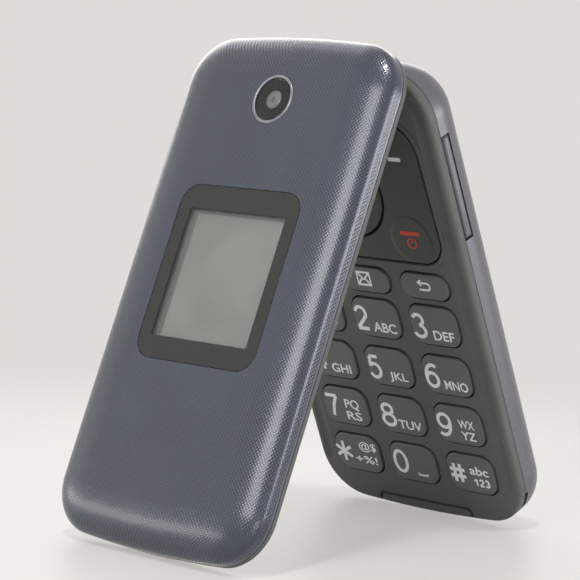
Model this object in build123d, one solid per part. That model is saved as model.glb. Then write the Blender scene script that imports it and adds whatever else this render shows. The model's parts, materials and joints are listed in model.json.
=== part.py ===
from build123d import *
import os

os.makedirs("parts", exist_ok=True)

# A folding phone, standing open like a tent on the free ends of its two halves.
#
# Every piece is first modelled in the closed phone's frame, in millimetres: the hinge axis is the
# X axis, +Y points from the keypad towards the hinge end, and +Z points out of the keypad and out
# of the lid. The two halves are then turned about the hinge and stood on the floor, Z up.

# ---- both halves ----
width = 54.2              # across the phone
free_end = 101.25         # hinge axis to the free end of either half
corner_radius = 10.2      # corners of the outline
end_crown = 1.5           # how much the ends bow outwards
closing_gap = 0.3         # between the halves when closed
rest_opening = 45.5       # angle between the halves as they stand, degrees
assembly_gap = 0.1        # between a piece and the pocket that it is fitted in
slip = 0.05               # between thin parts stacked on each other

# ---- base: outside ----
base_depth = 12.0
base_overhang = 0.3       # the middle of the base's end reaches this far past the hinge axis
hinge_drop = 2.3          # hinge axis below the keypad face
front_band = 2.0          # side band of the front housing
front_plate = 1.4
front_wall = 1.6
rim_round = 0.9
cover_edge_gap = 0.15     # seam between the front housing and the battery cover
cover_wall = 1.1
cover_gap = 0.2           # between the battery cover and the chassis
back_spread = 9.9         # width of the rounded shoulder round the back
back_rise = 8.0           # and its height

# ---- lid: outside ----
lid_depth = 6.9
lid_overhang = 2.8        # the lid reaches this far past the hinge axis
lid_band = 1.2            # visible band of the lid's inner housing
lid_edge_round = 0.4
lid_seam = 0.2            # seam between the band and the outer cover
lid_wall = 1.2
lid_spread = 9.5          # width of the rounded shoulder round the front
lid_rise = 3.7            # and its height
skirt_wall = 0.9
skirt_gap = 0.15
skim = 0.01               # taken off a rounded body's crest to leave its middle flat

# ---- hinge ----
barrel_radius = 3.9
barrel_half = 9.8         # the lid's barrel reaches this far to each side
knuckle_width = 3.0       # the base's knuckles, one at each end of the barrel
knuckle_gap = 0.25        # end gap between barrel and knuckles
sweep_gap = 0.3           # round the barrel and the knuckles
running_gap = 0.05        # of a shaft in its hole
knuckle_root = 6.2        # length of the block that carries a knuckle
knuckle_root_depth = 3.0
shaft_radius = 1.2
collar_radius = 2.2       # the shaft's collar and the hollow pin
shaft_reach = 6.3
cartridge_radius = 2.6
cartridge_length = 9.4
pin_reach = 3.6           # of the hollow pin into the barrel
pin_bore = 1.4
flex_radius = 1.2
flex_length = 9.0
flex_room = 3.6           # bore for the cable beyond the pin
end_wall = 0.4            # left at the outer end of a knuckle's hole

# ---- keypad ----
keypad_side = 5.1         # from the phone's side to the outer keys
key_bar = 2.5             # left between the columns
key_height = 9.5
key_corner = 3.2
key_pitch_y = 11.4
first_row = 55.05         # hinge axis to the middle of the first row of numbers
function_row = 46.2
function_height = 6.3
function_corner = 3.0
key_gap = 0.36            # round a key
key_lift = 0.45           # keys stand proud of the plate
key_float = 0.35          # between a resting key and the mat
key_round = 0.28
nav_top = 10.0
nav_bottom = 41.35
nav_side_top = 5.4        # from the phone's side to the navigation plate
nav_side_bottom = 4.4
nav_corner_top = 8.0
nav_corner_bottom = 5.5
nav_lift = 0.15
nav_float = 0.65
ridge_width = 0.85        # raised rim round the navigation plate
ridge_height = 0.25
ridge_offset = 0.1
ridge_round = 0.2
dial_centre = 26.7        # hinge axis to the middle of the round navigation key
dial_radius = 10.0        # hole in the navigation plate
dial_float = 0.7
dial_lift = 0.35
dial_gap = 0.45           # round the dial
dial_bevel = 0.25
ok_radius = 5.3           # hole in the round navigation key
pad_inner = 5.4           # tilting pad under the round key
pad_outer = 6.4
nav_pad_inner = 10.6      # tilting pad under the navigation plate
nav_pad_outer = 12.0
pad_float = 0.22
pad_thick = 0.2
valley_radius = 2.2
valley_depth = 0.45
valley_inset = 2.65       # from the side to the middle of the valley
valley_turn = 60          # how far it follows the corner at the hinge end, degrees
valley_far = 91.0         # hinge axis to its other end
lip_half = 12.9           # lip at the free end, with a groove round it for a fingernail
lip_reach = 3.15
lip_corner = 1.6
groove_width = 0.8
groove_depth = 0.7

# ---- keypad stack, downwards from the plate ----
mat_drop = 0.4            # plate to mat
mat_thick = 0.35
mat_lip = 1.0
mat_inset = 2.6
dome_room = 0.35          # mat to dome sheet
dome_sheet_thick = 0.1
dome_height = 0.3
dome_radius = 2.3
board_thick = 0.8
board_inset = 2.3
board_hinge_end = 8.6
chassis_wall = 0.9

# ---- base: inside ----
battery_side = 7.6        # from the phone's side to the battery
battery_thick = 5.0
battery_near = 36.3       # hinge axis to the battery's near end
battery_far = 8.75        # from the phone's free end to the battery's far end
battery_room = 0.25
battery_round = 1.0
contact_pitch = 4.0
contact_size = (1.3, 2.4, 2.2)
boss_radius = 1.6
boss_sites = ((6.3, 7.2), (4.2, 72.15), (9.1, 96.5))   # from the side, and from the hinge axis
screw_radius = 0.6
screw_head_radius = 1.5
screw_head_height = 0.8
screw_length = 3.6
well_radius = 1.75
well_floor = 1.7          # chassis left under a screw head
can_height = 1.3
can_wall = 0.2
can_sites = ((-10.5, 48.0, 16.0, 17.0), (9.5, 49.0, 17.0, 19.0), (0.5, 77.0, 20.0, 14.0))
speaker_size = (15.0, 11.0, 3.0)
speaker_at = (11.1, 17.6)   # from the side to the speaker, and from the hinge axis to its middle
slot_count = 5
slot_size = (9.0, 0.9)
slot_pitch = 1.9
motor_radius = 4.0
motor_height = 2.6
motor_at = (10.6, 29.6)
sim_size = (15.6, 12.6, 1.5)
sim_at = (9.4, 27.0)
sim_wall = 0.2
sim_card_size = (14.6, 11.8, 0.76)
sim_well_depth = 4.7
socket_size = (5.6, 7.6, 2.7)
socket_at = 31.4
socket_wall = 0.35
socket_tongue = 0.7
port_margin = 0.5         # round a socket in the battery cover
jack_radius = 1.8
jack_depth = 13.6
jack_size = (14.4, 6.4, 5.0)
jack_at = 17.0
jack_drop = 3.7           # jack axis below the hinge axis
jack_inset = 3.6
jack_port_radius = 2.9
mic_radius = 2.0
mic_height = 1.2
mic_at = (8.0, 96.0)
mic_hole = 0.4
rocker_length = 21.6
rocker_at = 25.2
rocker_height = 2.0
rocker_thick = 2.8
rocker_drop = 0.5         # below the seam
rocker_gap = 0.25         # at its ends
rocker_back_gap = 0.12    # on the side away from the seam
rocker_play = 0.25
rocker_round = 0.6
pry_end = 4.35            # from the free end to the slot for a fingernail
pry_length = 3.5
pry_height = 0.9
pry_depth = 1.6

# ---- lid: inside ----
glass_thick = 0.7
glass_recess = 0.6
glass_side = 3.5          # from the phone's side to the inner window
glass_near = 8.6          # hinge axis to the near end of the inner window
glass_far = 95.4
glass_corner = 7.9
ledge_thick = 1.0
panel_side = 4.6
panel_length = 62.6
panel_thick = 1.9
panel_near = 28.4
lid_board_thick = 0.7
lid_board_side = 6.1
lid_board_near = 9.2
lid_board_far = 72.0
lid_boss_radius = 1.8
lid_boss_sites = ((6.5, 5.4), (7.1, 96.6))
bumper_radius = 1.55
bumper_thick = 0.7
bumper_proud = 0.22
head_recess_radius = 1.65
head_recess_depth = 1.3
window_width = 31.8
window_length = 35.5
window_corner = 4.2
window_centre = 47.5      # hinge axis to the middle of the outer window
window_thick = 0.9
window_recess = 0.05
window_gap = 0.08
aperture_width = 27.0
aperture_length = 27.6
outer_panel_size = (30.0, 33.4, 1.5)
frame_width = 2.0
camera_at = 11.3          # hinge axis to the middle of the camera
camera_ring_radius = 5.03
camera_ring_width = 0.65
camera_ring_proud = 0.15
camera_ring_height = 0.65
camera_window_thick = 0.7
camera_window_sunk = 0.1
camera_body = 8.4
camera_lens_radius = 2.4
camera_lens_height = 0.9
earpiece_size = (13.0, 3.0, 2.0)
earpiece_at = 97.0
ear_slot = (9.0, 1.2)
mesh_size = (10.0, 2.2, 0.3)
magnet_size = (5.0, 2.4, 1.2)
magnet_at = (13.1, 95.4)

# ---- levels and limits that follow from the sizes above ----
half_width = width / 2
key_width = (width - 2 * keypad_side - 2 * key_bar) / 3
key_pitch_x = key_width + key_bar
nav_half_top = half_width - nav_side_top
nav_half_bottom = half_width - nav_side_bottom
battery_half = half_width - battery_side
battery_length = free_end - battery_near - battery_far
speaker_x = half_width - speaker_at[0] - speaker_size[0] / 2
motor_x = half_width - motor_at[0] - motor_radius
sim_x = -half_width + sim_at[0] + sim_size[0] / 2
magnet_x = -half_width + magnet_at[0]
glass_width = width - 2 * glass_side
panel_width = width - 2 * panel_side
lid_board_width = width - 2 * lid_board_side
face_z = hinge_drop
back_z = face_z - base_depth
seam_z = face_z - front_band
cover_edge_z = seam_z - cover_edge_gap
back_shoulder_z = back_z + back_rise
plate_z = face_z - front_plate
mat_top = plate_z - mat_drop
mat_bottom = mat_top - mat_thick
dome_z = mat_bottom - dome_room
board_top = dome_z - dome_sheet_thick
board_bottom = board_top - board_thick
chassis_top = board_bottom - slip
chassis_inset = cover_wall + cover_gap
chassis_back = back_z + chassis_inset
battery_back = chassis_back + slip
battery_top = battery_back + battery_thick
bay_top = battery_top + slip
base_end = base_overhang

lid_in_z = face_z + closing_gap
lid_top_z = lid_in_z + lid_depth
band_top = lid_in_z + lid_band
lid_edge_z = band_top + lid_seam
lid_shoulder_z = lid_top_z - lid_rise
lid_inside_z = lid_top_z - lid_wall
glass_z = lid_in_z + glass_recess
ledge_z = glass_z + glass_thick
floor_z = ledge_z + ledge_thick
panel_z = ledge_z + slip
lid_board_z = panel_z + panel_thick + slip
window_z = lid_top_z - window_recess - window_thick
outer_panel_z = lid_inside_z - slip - outer_panel_size[2]

barrel_sweep = barrel_radius + sweep_gap
knuckle_in = barrel_half + knuckle_gap
knuckle_out = knuckle_in + knuckle_width
key_columns = (-key_pitch_x, 0.0, key_pitch_x)


def outline(inset, hinge_end):
    """The phone's outline as a face: straight sides, bowed ends and round corners."""
    half = half_width - inset
    low = -free_end + inset
    high = hinge_end - inset
    edges = [
        Line((half, low + end_crown), (half, high - end_crown)),
        ThreePointArc((half, high - end_crown), (0, high), (-half, high - end_crown)),
        Line((-half, high - end_crown), (-half, low + end_crown)),
        ThreePointArc((-half, low + end_crown), (0, low), (half, low + end_crown)),
    ]
    face = make_face(edges)
    return fillet(face.vertices(), corner_radius - inset)


def slab(inset, hinge_end, low, high):
    """The outline, inset and raised between two levels."""
    return extrude(Pos(0, 0, low) * outline(inset, hinge_end), amount=high - low, dir=(0, 0, 1))


def shoulder(inset, hinge_end, spread, rise):
    """A block on z = 0 whose top edge is a quarter ellipse, spread wide and rise high."""
    body = extrude(outline(inset, hinge_end), amount=spread, dir=(0, 0, 1))
    rim = body.faces().sort_by(Axis.Z)[-1].edges()
    body = fillet(rim, spread - skim)
    body = scale(body, by=(1, 1, (rise + skim) / spread))
    return body - block((-width, width), (-2 * free_end, free_end), (rise, rise + 1))


def base_pillow(inset, top):
    """The base's rounded body from the level top down to the back, inset all round."""
    rounded = mirror(shoulder(inset, base_end, back_spread - inset, back_rise - inset), about=Plane.XY)
    return slab(inset, base_end, back_shoulder_z, top) + Pos(0, 0, back_shoulder_z) * rounded


def lid_pillow(inset, bottom):
    """The lid's rounded body from the level bottom up to the front, inset all round."""
    rounded = shoulder(inset, lid_overhang, lid_spread - inset, lid_rise - inset)
    return slab(inset, lid_overhang, bottom, lid_shoulder_z) + Pos(0, 0, lid_shoulder_z) * rounded


def block(x, y, z):
    """A box between pairs of limits."""
    box = Box(x[1] - x[0], y[1] - y[0], z[1] - z[0], align=(Align.MIN, Align.MIN, Align.MIN))
    return Pos(x[0], y[0], z[0]) * box


def post(x, y, low, high, radius):
    """An upright cylinder between two levels."""
    return Pos(x, y, low) * Cylinder(radius, high - low, align=(Align.CENTER, Align.CENTER, Align.MIN))


def rod(x_low, x_high, radius):
    """A cylinder on the hinge axis between two places across the phone."""
    bar = Cylinder(radius, x_high - x_low, align=(Align.CENTER, Align.CENTER, Align.MIN))
    return Pos(x_low, 0, 0) * Rot(0, 90, 0) * bar


def tablet(x, y, size_x, size_y, low, high, corner):
    """An upright prism with round corners, centred on x, y."""
    face = Pos(x, y, low) * RectangleRounded(size_x, size_y, corner)
    return extrude(face, amount=high - low, dir=(0, 0, 1))


def both_sides(sites):
    """Places given from the side and from the hinge axis, on both sides of the phone."""
    return [(side * (half_width - x), -y) for x, y in sites for side in (-1, 1)]


def key_sites():
    """Name and middle of every number key."""
    names = (("key_1", "key_2", "key_3"), ("key_4", "key_5", "key_6"),
             ("key_7", "key_8", "key_9"), ("key_star", "key_0", "key_hash"))
    sites = {}
    for row, row_names in enumerate(names):
        for x, name in zip(key_columns, row_names):
            sites[name] = (x, -first_row - row * key_pitch_y)
    return sites


def function_sites():
    """Name and middle of every function key."""
    names = ("key_contacts", "key_message", "key_back")
    return {name: (x, -function_row) for x, name in zip(key_columns, names)}


def nav_face(grow):
    """Outline of the navigation plate's opening, grown or shrunk."""
    corners = [(nav_half_bottom, -nav_bottom), (nav_half_top, -nav_top),
               (-nav_half_top, -nav_top), (-nav_half_bottom, -nav_bottom)]
    face = make_face(Polyline(*corners, close=True))
    upper = face.vertices().sort_by(Axis.Y)[2:]
    face = fillet(upper, nav_corner_top)
    lower = face.vertices().sort_by(Axis.Y)[:2]
    face = fillet(lower, nav_corner_bottom)
    return offset(face, amount=grow) if grow else face


def nav_prism(grow, low, high):
    return extrude(Pos(0, 0, low) * nav_face(grow), amount=high - low, dir=(0, 0, 1))


def barrel_room(radius, extra=0.0):
    """The space round the lid's barrel, across its whole width."""
    half = barrel_half + knuckle_gap / 2 + extra
    return rod(-half, half, radius)


def knuckle_room(radius, extra):
    """The space round both of the base's knuckles."""
    right = rod(knuckle_in - knuckle_gap / 2, knuckle_out + extra, radius)
    return right + mirror(right, about=Plane.YZ)


# ================= base =================

def valley():
    """The soft channel beside the rim on the right: round the hinge-end corner and down the side."""
    bend = corner_radius - valley_inset
    x = half_width - corner_radius
    y = base_end - end_crown / 2 - corner_radius
    z = face_z - valley_depth + valley_radius
    start = (x + bend, -valley_far, z)
    path = Line(start, (x + bend, y, z)) + CenterArc((x, y, z), bend, 0, valley_turn)
    channel = sweep(Plane(origin=start, z_dir=(0, 1, 0)) * Circle(valley_radius), path=path)
    for end in (path @ 0, path @ 1):
        channel += Pos(end) * Sphere(valley_radius)
    return channel


def base_front_housing():
    """Keypad face with its side band, key openings, hinge knuckles and screw bosses."""
    body = slab(0, base_end, seam_z, face_z)
    rim = body.faces().sort_by(Axis.Z)[-1].edges()
    body = fillet(rim, rim_round)
    body -= slab(front_wall, base_end, seam_z, plate_z)

    right_valley = valley()
    body -= right_valley
    body -= mirror(right_valley, about=Plane.YZ)

    ridge_top = face_z + ridge_height
    ridge = nav_prism(ridge_offset + ridge_width, face_z - ridge_height, ridge_top)
    ridge -= nav_prism(ridge_offset, face_z - ridge_height, ridge_top)
    body += fillet(ridge.faces().sort_by(Axis.Z)[-1].edges(), ridge_round)
    body -= nav_prism(0, plate_z - 1, face_z + 1)
    for x, y in key_sites().values():
        body -= tablet(x, y, key_width, key_height, plate_z - 1, face_z + 1, key_corner)
    for x, y in function_sites().values():
        body -= tablet(x, y, key_width, function_height, plate_z - 1, face_z + 1, function_corner)

    groove_z = face_z - groove_depth
    groove = tablet(0, -free_end, 2 * lip_half, 2 * lip_reach, groove_z, face_z + 1, lip_corner)
    inner_x = 2 * (lip_half - groove_width)
    inner_y = 2 * (lip_reach - groove_width)
    inner_corner = lip_corner - groove_width
    body -= groove - tablet(0, -free_end, inner_x, inner_y, groove_z, face_z + 1, inner_corner)

    for x, y in both_sides(boss_sites):
        body += post(x, y, chassis_top + slip, plate_z, boss_radius)
        body -= post(x, y, chassis_top, plate_z - 0.2, screw_radius)

    for side in (-1, 1):
        near_x, far_x = sorted((side * knuckle_in, side * knuckle_out))
        body += rod(near_x, far_x, barrel_radius)
        root_y = base_end - chassis_inset
        body += block((near_x, far_x), (root_y - knuckle_root, root_y), (-knuckle_root_depth, plate_z))
        hole = sorted((side * (knuckle_in - 1), side * (knuckle_out - end_wall)))
        body -= rod(hole[0], hole[1], collar_radius + slip)
    body -= barrel_room(barrel_sweep)
    return body


def screw_wells():
    """Clearance for the chassis screws, from the back."""
    wells = []
    floor = chassis_top - well_floor
    for x, y in both_sides(boss_sites):
        wells.append(post(x, y, back_z - 1, floor, well_radius))
        wells.append(post(x, y, floor - 1, chassis_top + 1, screw_radius + assembly_gap))
    return wells


def base_chassis():
    """Inner frame that holds the board, the battery and the small parts."""
    body = base_pillow(chassis_inset, chassis_top)
    wall = slab(chassis_inset, base_end, chassis_top, seam_z - assembly_gap)
    body += wall - slab(chassis_inset + chassis_wall, base_end, chassis_top, seam_z)

    gap = assembly_gap
    bay_half = battery_half + battery_room
    bay_near = -battery_near + battery_room
    bay_far = -battery_near - battery_length - battery_room
    body -= block((-bay_half, bay_half), (bay_far, bay_near), (back_z - 1, bay_top))
    for x, y, size_x, size_y in can_sites:
        body -= tablet(x, -y, size_x + 2 * gap, size_y + 2 * gap,
                       board_bottom - can_height - gap, chassis_top + 1, 0.6)

    sx, sy, sz = speaker_size
    body -= tablet(speaker_x, -speaker_at[1], sx + 2 * gap, sy + 2 * gap,
                   back_z - 1, chassis_back + sz + gap, 1.2)
    body -= post(motor_x, -motor_at[1], back_z - 1, chassis_back + sz + gap, motor_radius + gap)
    mx, my, mz = sim_size
    body -= tablet(sim_x, -sim_at[1], mx + 2 * gap, my + 2 * gap,
                   back_z - 1, chassis_back + sim_well_depth, 0.8)

    ux, uy, uz = socket_size
    body -= block((-half_width, -half_width + chassis_inset + ux + gap),
                  (-socket_at - uy / 2 - gap, -socket_at + uy / 2 + gap),
                  (board_bottom - uz - gap, chassis_top + 1))
    jx, jy, jz = jack_size
    body -= block((-half_width, -half_width + jack_inset + jx + gap),
                  (-jack_at - jy / 2 - gap, -jack_at + jy / 2 + gap),
                  (-jack_drop - jz / 2 - gap, chassis_top + 1))
    body -= post(mic_at[0], -mic_at[1], board_bottom - mic_height - gap, chassis_top + 1, mic_radius + gap)

    play = rocker_gap + 0.1
    body -= block((half_width - rocker_thick - rocker_play, half_width),
                  (-rocker_at - rocker_length / 2 - play, -rocker_at + rocker_length / 2 + play),
                  (seam_z - rocker_drop - rocker_height - play, seam_z))

    for x in (-contact_pitch, 0.0, contact_pitch):
        cx, cy, cz = contact_size
        body -= block((x - cx / 2 - gap, x + cx / 2 + gap), (bay_near - 1, bay_near + cy + gap),
                      (battery_back + 1.0, bay_top))
    for hole in boss_holes(chassis_top, seam_z):
        body -= hole
    for well in screw_wells():
        body -= well

    body -= barrel_room(barrel_sweep + gap, gap)
    body -= knuckle_room(barrel_radius + gap, gap)
    for side in (-1, 1):
        near_x, far_x = sorted((side * (knuckle_in - gap), side * (knuckle_out + gap)))
        root_y = base_end - chassis_inset
        body -= block((near_x, far_x), (root_y - knuckle_root - gap, root_y + 3),
                      (-knuckle_root_depth - gap, plate_z))
    return body


def battery_cover():
    """Back cover that wraps the whole base up to the seam."""
    body = base_pillow(0, cover_edge_z) - base_pillow(cover_wall, cover_edge_z)
    body -= barrel_room(barrel_sweep + cover_gap, cover_gap)
    body -= knuckle_room(barrel_radius + cover_gap, cover_gap)

    slot_low = seam_z - rocker_drop - rocker_height - rocker_back_gap
    slot_half = rocker_length / 2 + rocker_gap
    body -= block((half_width - 3, half_width + 1), (-rocker_at - slot_half, -rocker_at + slot_half),
                  (slot_low, seam_z))
    pry_far = free_end - pry_end
    body -= block((half_width - pry_depth - corner_radius / 2, half_width + 1),
                  (-pry_far, pry_length - pry_far), (cover_edge_z - pry_height, seam_z))

    ux, uy, uz = socket_size
    port_z = board_bottom - uz / 2
    port = RectangleRounded(uy + 2 * port_margin, uz + 2 * port_margin, 1.0)
    port = extrude(port, amount=3, both=True)
    body -= Pos(-half_width, -socket_at, port_z) * Rot(0, 90, 0) * Rot(0, 0, 90) * port
    plug_way = Cylinder(jack_port_radius, 8)
    body -= Pos(-half_width, -jack_at, -jack_drop) * Rot(0, 90, 0) * plug_way

    for index in range(slot_count):
        y = -speaker_at[1] + (index - (slot_count - 1) / 2) * slot_pitch
        slot = SlotOverall(slot_size[0], slot_size[1])
        body -= extrude(Pos(speaker_x, y, back_z - 1) * slot, amount=3, dir=(0, 0, 1))
    body -= Pos(mic_at[0], -free_end, board_bottom - mic_height) * Rot(90, 0, 0) * Cylinder(mic_hole, 6)
    return body


def battery_pack():
    """Removable battery."""
    y_low = -battery_near - battery_length
    pack = block((-battery_half, battery_half), (y_low, -battery_near), (battery_back, battery_top))
    pack = fillet(pack.edges(), battery_round)
    for x in (-contact_pitch, 0.0, contact_pitch):
        pack -= block((x - 1, x + 1), (-battery_near - 0.3, -battery_near + 1),
                      (battery_back + 1.2, battery_top - 1.0))
    return pack


def battery_contacts():
    """Three sprung blades that press on the battery."""
    cx, cy, cz = contact_size
    near = -battery_near + battery_room
    z_mid = (battery_back + bay_top) / 2
    return [block((x - cx / 2, x + cx / 2), (near - battery_room / 2, near + cy),
                  (z_mid - cz / 2, z_mid + cz / 2)) for x in (-contact_pitch, 0.0, contact_pitch)]


def boss_holes(low, high):
    return [post(x, y, low, high, boss_radius + assembly_gap) for x, y in both_sides(boss_sites)]


def below_hinge(body, near):
    """Cuts a sheet off short of the hinge."""
    return body - block((-width, width), (-near, width), (-width, width))


def main_circuit_board():
    body = below_hinge(slab(board_inset, base_end, board_bottom, board_top), board_hinge_end)
    for hole in boss_holes(board_bottom - 1, board_top + 1):
        body -= hole
    play = rocker_gap + 0.2
    body -= block((half_width - rocker_thick - rocker_play - 0.2, half_width),
                  (-rocker_at - rocker_length / 2 - play, -rocker_at + rocker_length / 2 + play),
                  (board_bottom - 1, board_top + 1))
    return body


def shield_cans():
    """Pressed lids over the chips on the underside of the board."""
    cans = []
    for x, y, size_x, size_y in can_sites:
        low = board_bottom - can_height
        inner_x = size_x - 2 * can_wall
        inner_y = size_y - 2 * can_wall
        can = tablet(x, -y, size_x, size_y, low, board_bottom, 0.5)
        can -= tablet(x, -y, inner_x, inner_y, low + can_wall, board_bottom, 0.3)
        cans.append(can)
    return cans


def dome_sites():
    sites = list(key_sites().values()) + list(function_sites().values())
    sites.append((0.0, -dial_centre))
    reach = (dial_radius + ok_radius) / 2
    sites += [(reach, -dial_centre), (-reach, -dial_centre), (0.0, -dial_centre + reach),
              (0.0, -dial_centre - reach)]
    corner_x = (dial_radius + nav_half_top) / 2
    for y in (-nav_top - key_corner * 2, -nav_bottom + key_corner * 2):
        sites += [(corner_x, y), (-corner_x, y)]
    return sites


def dome_sheet():
    """Film with a snap dome under every key."""
    sheet = below_hinge(slab(mat_inset, base_end, board_top, dome_z), board_hinge_end + 1)
    for hole in boss_holes(board_top - 1, dome_z + 1):
        sheet -= hole
    sheet -= block((half_width - rocker_thick - 1, half_width), (-rocker_at - rocker_length / 2 - 1,
                   -rocker_at + rocker_length / 2 + 1), (board_top - 1, dome_z + 1))
    dome = Cone(dome_radius, dome_radius / 2, dome_height)
    for x, y in dome_sites():
        sheet += Pos(x, y, dome_z + dome_height / 2) * dome
    return sheet


def keypad_mat():
    """Rubber mat that the keys press on, with a lip up to the plate."""
    mat = below_hinge(slab(mat_inset, base_end, mat_bottom, mat_top), board_hinge_end + 1)
    lip = slab(mat_inset, base_end, mat_top, plate_z - slip)
    lip -= slab(mat_inset + mat_lip, base_end, mat_top, plate_z)
    mat += below_hinge(lip, board_hinge_end + 1)
    for hole in boss_holes(mat_bottom - 1, plate_z):
        mat -= hole
    return mat


def charging_socket():
    """Metal shell with a tongue, open to the left side."""
    ux, uy, uz = socket_size
    x0 = -half_width + chassis_inset
    z1 = board_bottom
    body = block((x0, x0 + ux), (-socket_at - uy / 2, -socket_at + uy / 2), (z1 - uz, z1))
    body = fillet(body.edges().filter_by(Axis.X), 0.6)
    hollow = block((x0 - 1, x0 + ux - socket_wall),
                   (-socket_at - uy / 2 + socket_wall, -socket_at + uy / 2 - socket_wall),
                   (z1 - uz + socket_wall, z1 - socket_wall))
    body -= hollow
    z_mid = z1 - uz / 2
    body += block((x0 + 0.6, x0 + ux), (-socket_at - uy / 4, -socket_at + uy / 4),
                  (z_mid - socket_tongue / 2, z_mid + socket_tongue / 2))
    return body


def headphone_socket():
    """Round socket for a headphone plug, open to the left side."""
    jx, jy, jz = jack_size
    x0 = -half_width + jack_inset
    body = block((x0, x0 + jx), (-jack_at - jy / 2, -jack_at + jy / 2),
                 (-jack_drop - jz / 2, -jack_drop + jz / 2))
    bore = Cylinder(jack_radius, jack_depth, align=(Align.CENTER, Align.CENTER, Align.MIN))
    return body - Pos(x0, -jack_at, -jack_drop) * Rot(0, 90, 0) * bore


def sim_socket():
    """Metal cage for the subscriber card."""
    mx, my, mz = sim_size
    z1 = chassis_back + sim_well_depth - slip
    cage = tablet(sim_x, -sim_at[1], mx, my, z1 - mz, z1, 0.5)
    cx, cy, cz = sim_card_size
    return cage - block((sim_x - cx / 2 - slip, sim_x + cx / 2 + slip),
                        (-sim_at[1] - my, -sim_at[1] + cy / 2 + slip),
                        (z1 - mz + sim_wall, z1 - mz + sim_wall + cz + 2 * slip))


def sim_card():
    cx, cy, cz = sim_card_size
    low = chassis_back + sim_well_depth - slip - sim_size[2] + sim_wall + slip
    card = block((sim_x - cx / 2, sim_x + cx / 2), (-sim_at[1] - cy / 2, -sim_at[1] + cy / 2),
                 (low, low + cz))
    corner = card.edges().filter_by(Axis.Z).sort_by(Axis.X)[-1]
    return chamfer(corner, 2.0)


def loudspeaker():
    """Ringer speaker that faces the slots in the back cover."""
    sx, sy, sz = speaker_size
    body = tablet(speaker_x, -speaker_at[1], sx, sy, chassis_back, chassis_back + sz, 1.1)
    return body - tablet(speaker_x, -speaker_at[1], sx - 3, sy - 3, chassis_back, chassis_back + 0.5, 0.6)


def vibration_motor():
    low = chassis_back + speaker_size[2] - motor_height
    return post(motor_x, -motor_at[1], low, low + motor_height, motor_radius)


def microphone():
    return post(mic_at[0], -mic_at[1], board_bottom - mic_height, board_bottom, mic_radius)


def volume_rocker():
    """Long side button beside the seam, rocking about its middle."""
    top = seam_z - rocker_drop
    body = block((half_width - rocker_thick, half_width),
                 (-rocker_at - rocker_length / 2, -rocker_at + rocker_length / 2),
                 (top - rocker_height, top))
    outer = body.faces().sort_by(Axis.X)[-1].edges()
    return fillet(outer, rocker_round)


def screw(x, y, head_z, up):
    """A screw with its head below head_z and its shank above it."""
    head = post(x, y, head_z - screw_head_height, head_z, screw_head_radius)
    head -= post(x, y, head_z - screw_head_height, head_z - screw_head_height / 2, screw_radius)
    return head + post(x, y, head_z, head_z + up, screw_radius - slip)


def chassis_screws():
    head_z = chassis_top - well_floor
    return [screw(x, y, head_z, screw_length - 0.6) for x, y in both_sides(boss_sites)]


def hinge_shaft():
    """Shaft of the spring hinge, held in the left knuckle."""
    outer = -(knuckle_out - end_wall - slip)
    collar = rod(outer, -knuckle_in, collar_radius)
    return collar + rod(-knuckle_in, -knuckle_in + shaft_reach, shaft_radius)


def hinge_pin():
    """Hollow pin on the right, which the flat cable passes through."""
    outer = knuckle_out - end_wall - slip
    return rod(barrel_half - pin_reach, outer, collar_radius) - rod(0, width, pin_bore)


def hinge_flex_cable():
    """The rolled part of the flat cable between base and lid."""
    outer = knuckle_out - end_wall - 3 * slip
    return rod(outer - flex_length, outer, flex_radius)


# ================= keys =================

def key_cap(x, y, size_x, size_y, corner):
    """A key with a softened top edge, standing a little proud of the plate."""
    cap = tablet(x, y, size_x - 2 * key_gap, size_y - 2 * key_gap, mat_top + key_float,
                 face_z + key_lift, corner - key_gap)
    top = cap.faces().sort_by(Axis.Z)[-1].edges()
    return fillet(top, key_round)


def nav_plate():
    """Wide plate round the dial, which tips to press the keys at its corners."""
    low = mat_top + nav_float
    plate = nav_prism(-key_gap, low, face_z + nav_lift)
    top = plate.faces().sort_by(Axis.Z)[-1].edges()
    plate = fillet(top, key_round / 2)
    bevel = Cone(dial_radius, dial_radius + dial_bevel, dial_bevel)
    plate -= Pos(0, -dial_centre, face_z + nav_lift - dial_bevel / 2) * bevel
    return plate - post(0, -dial_centre, low - 1, face_z + 1, dial_radius)


def tilt_pad(inner, outer):
    """Thin rubber ring that a tilting key rocks on."""
    low = mat_top + pad_float
    high = low + pad_thick
    return post(0, -dial_centre, low, high, outer) - post(0, -dial_centre, low, high, inner)


def dial_ring():
    """Round four-way navigation key."""
    ring = post(0, -dial_centre, mat_top + dial_float, face_z + dial_lift, dial_radius - dial_gap)
    ring = fillet(ring.faces().sort_by(Axis.Z)[-1].edges(), key_round)
    return ring - post(0, -dial_centre, mat_top, face_z + 1, ok_radius)


def ok_key():
    """Round key in the middle of the dial."""
    cap = post(0, -dial_centre, mat_top + key_float, face_z + dial_lift, ok_radius - key_gap)
    return fillet(cap.faces().sort_by(Axis.Z)[-1].edges(), key_round)


# ================= lid =================

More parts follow.
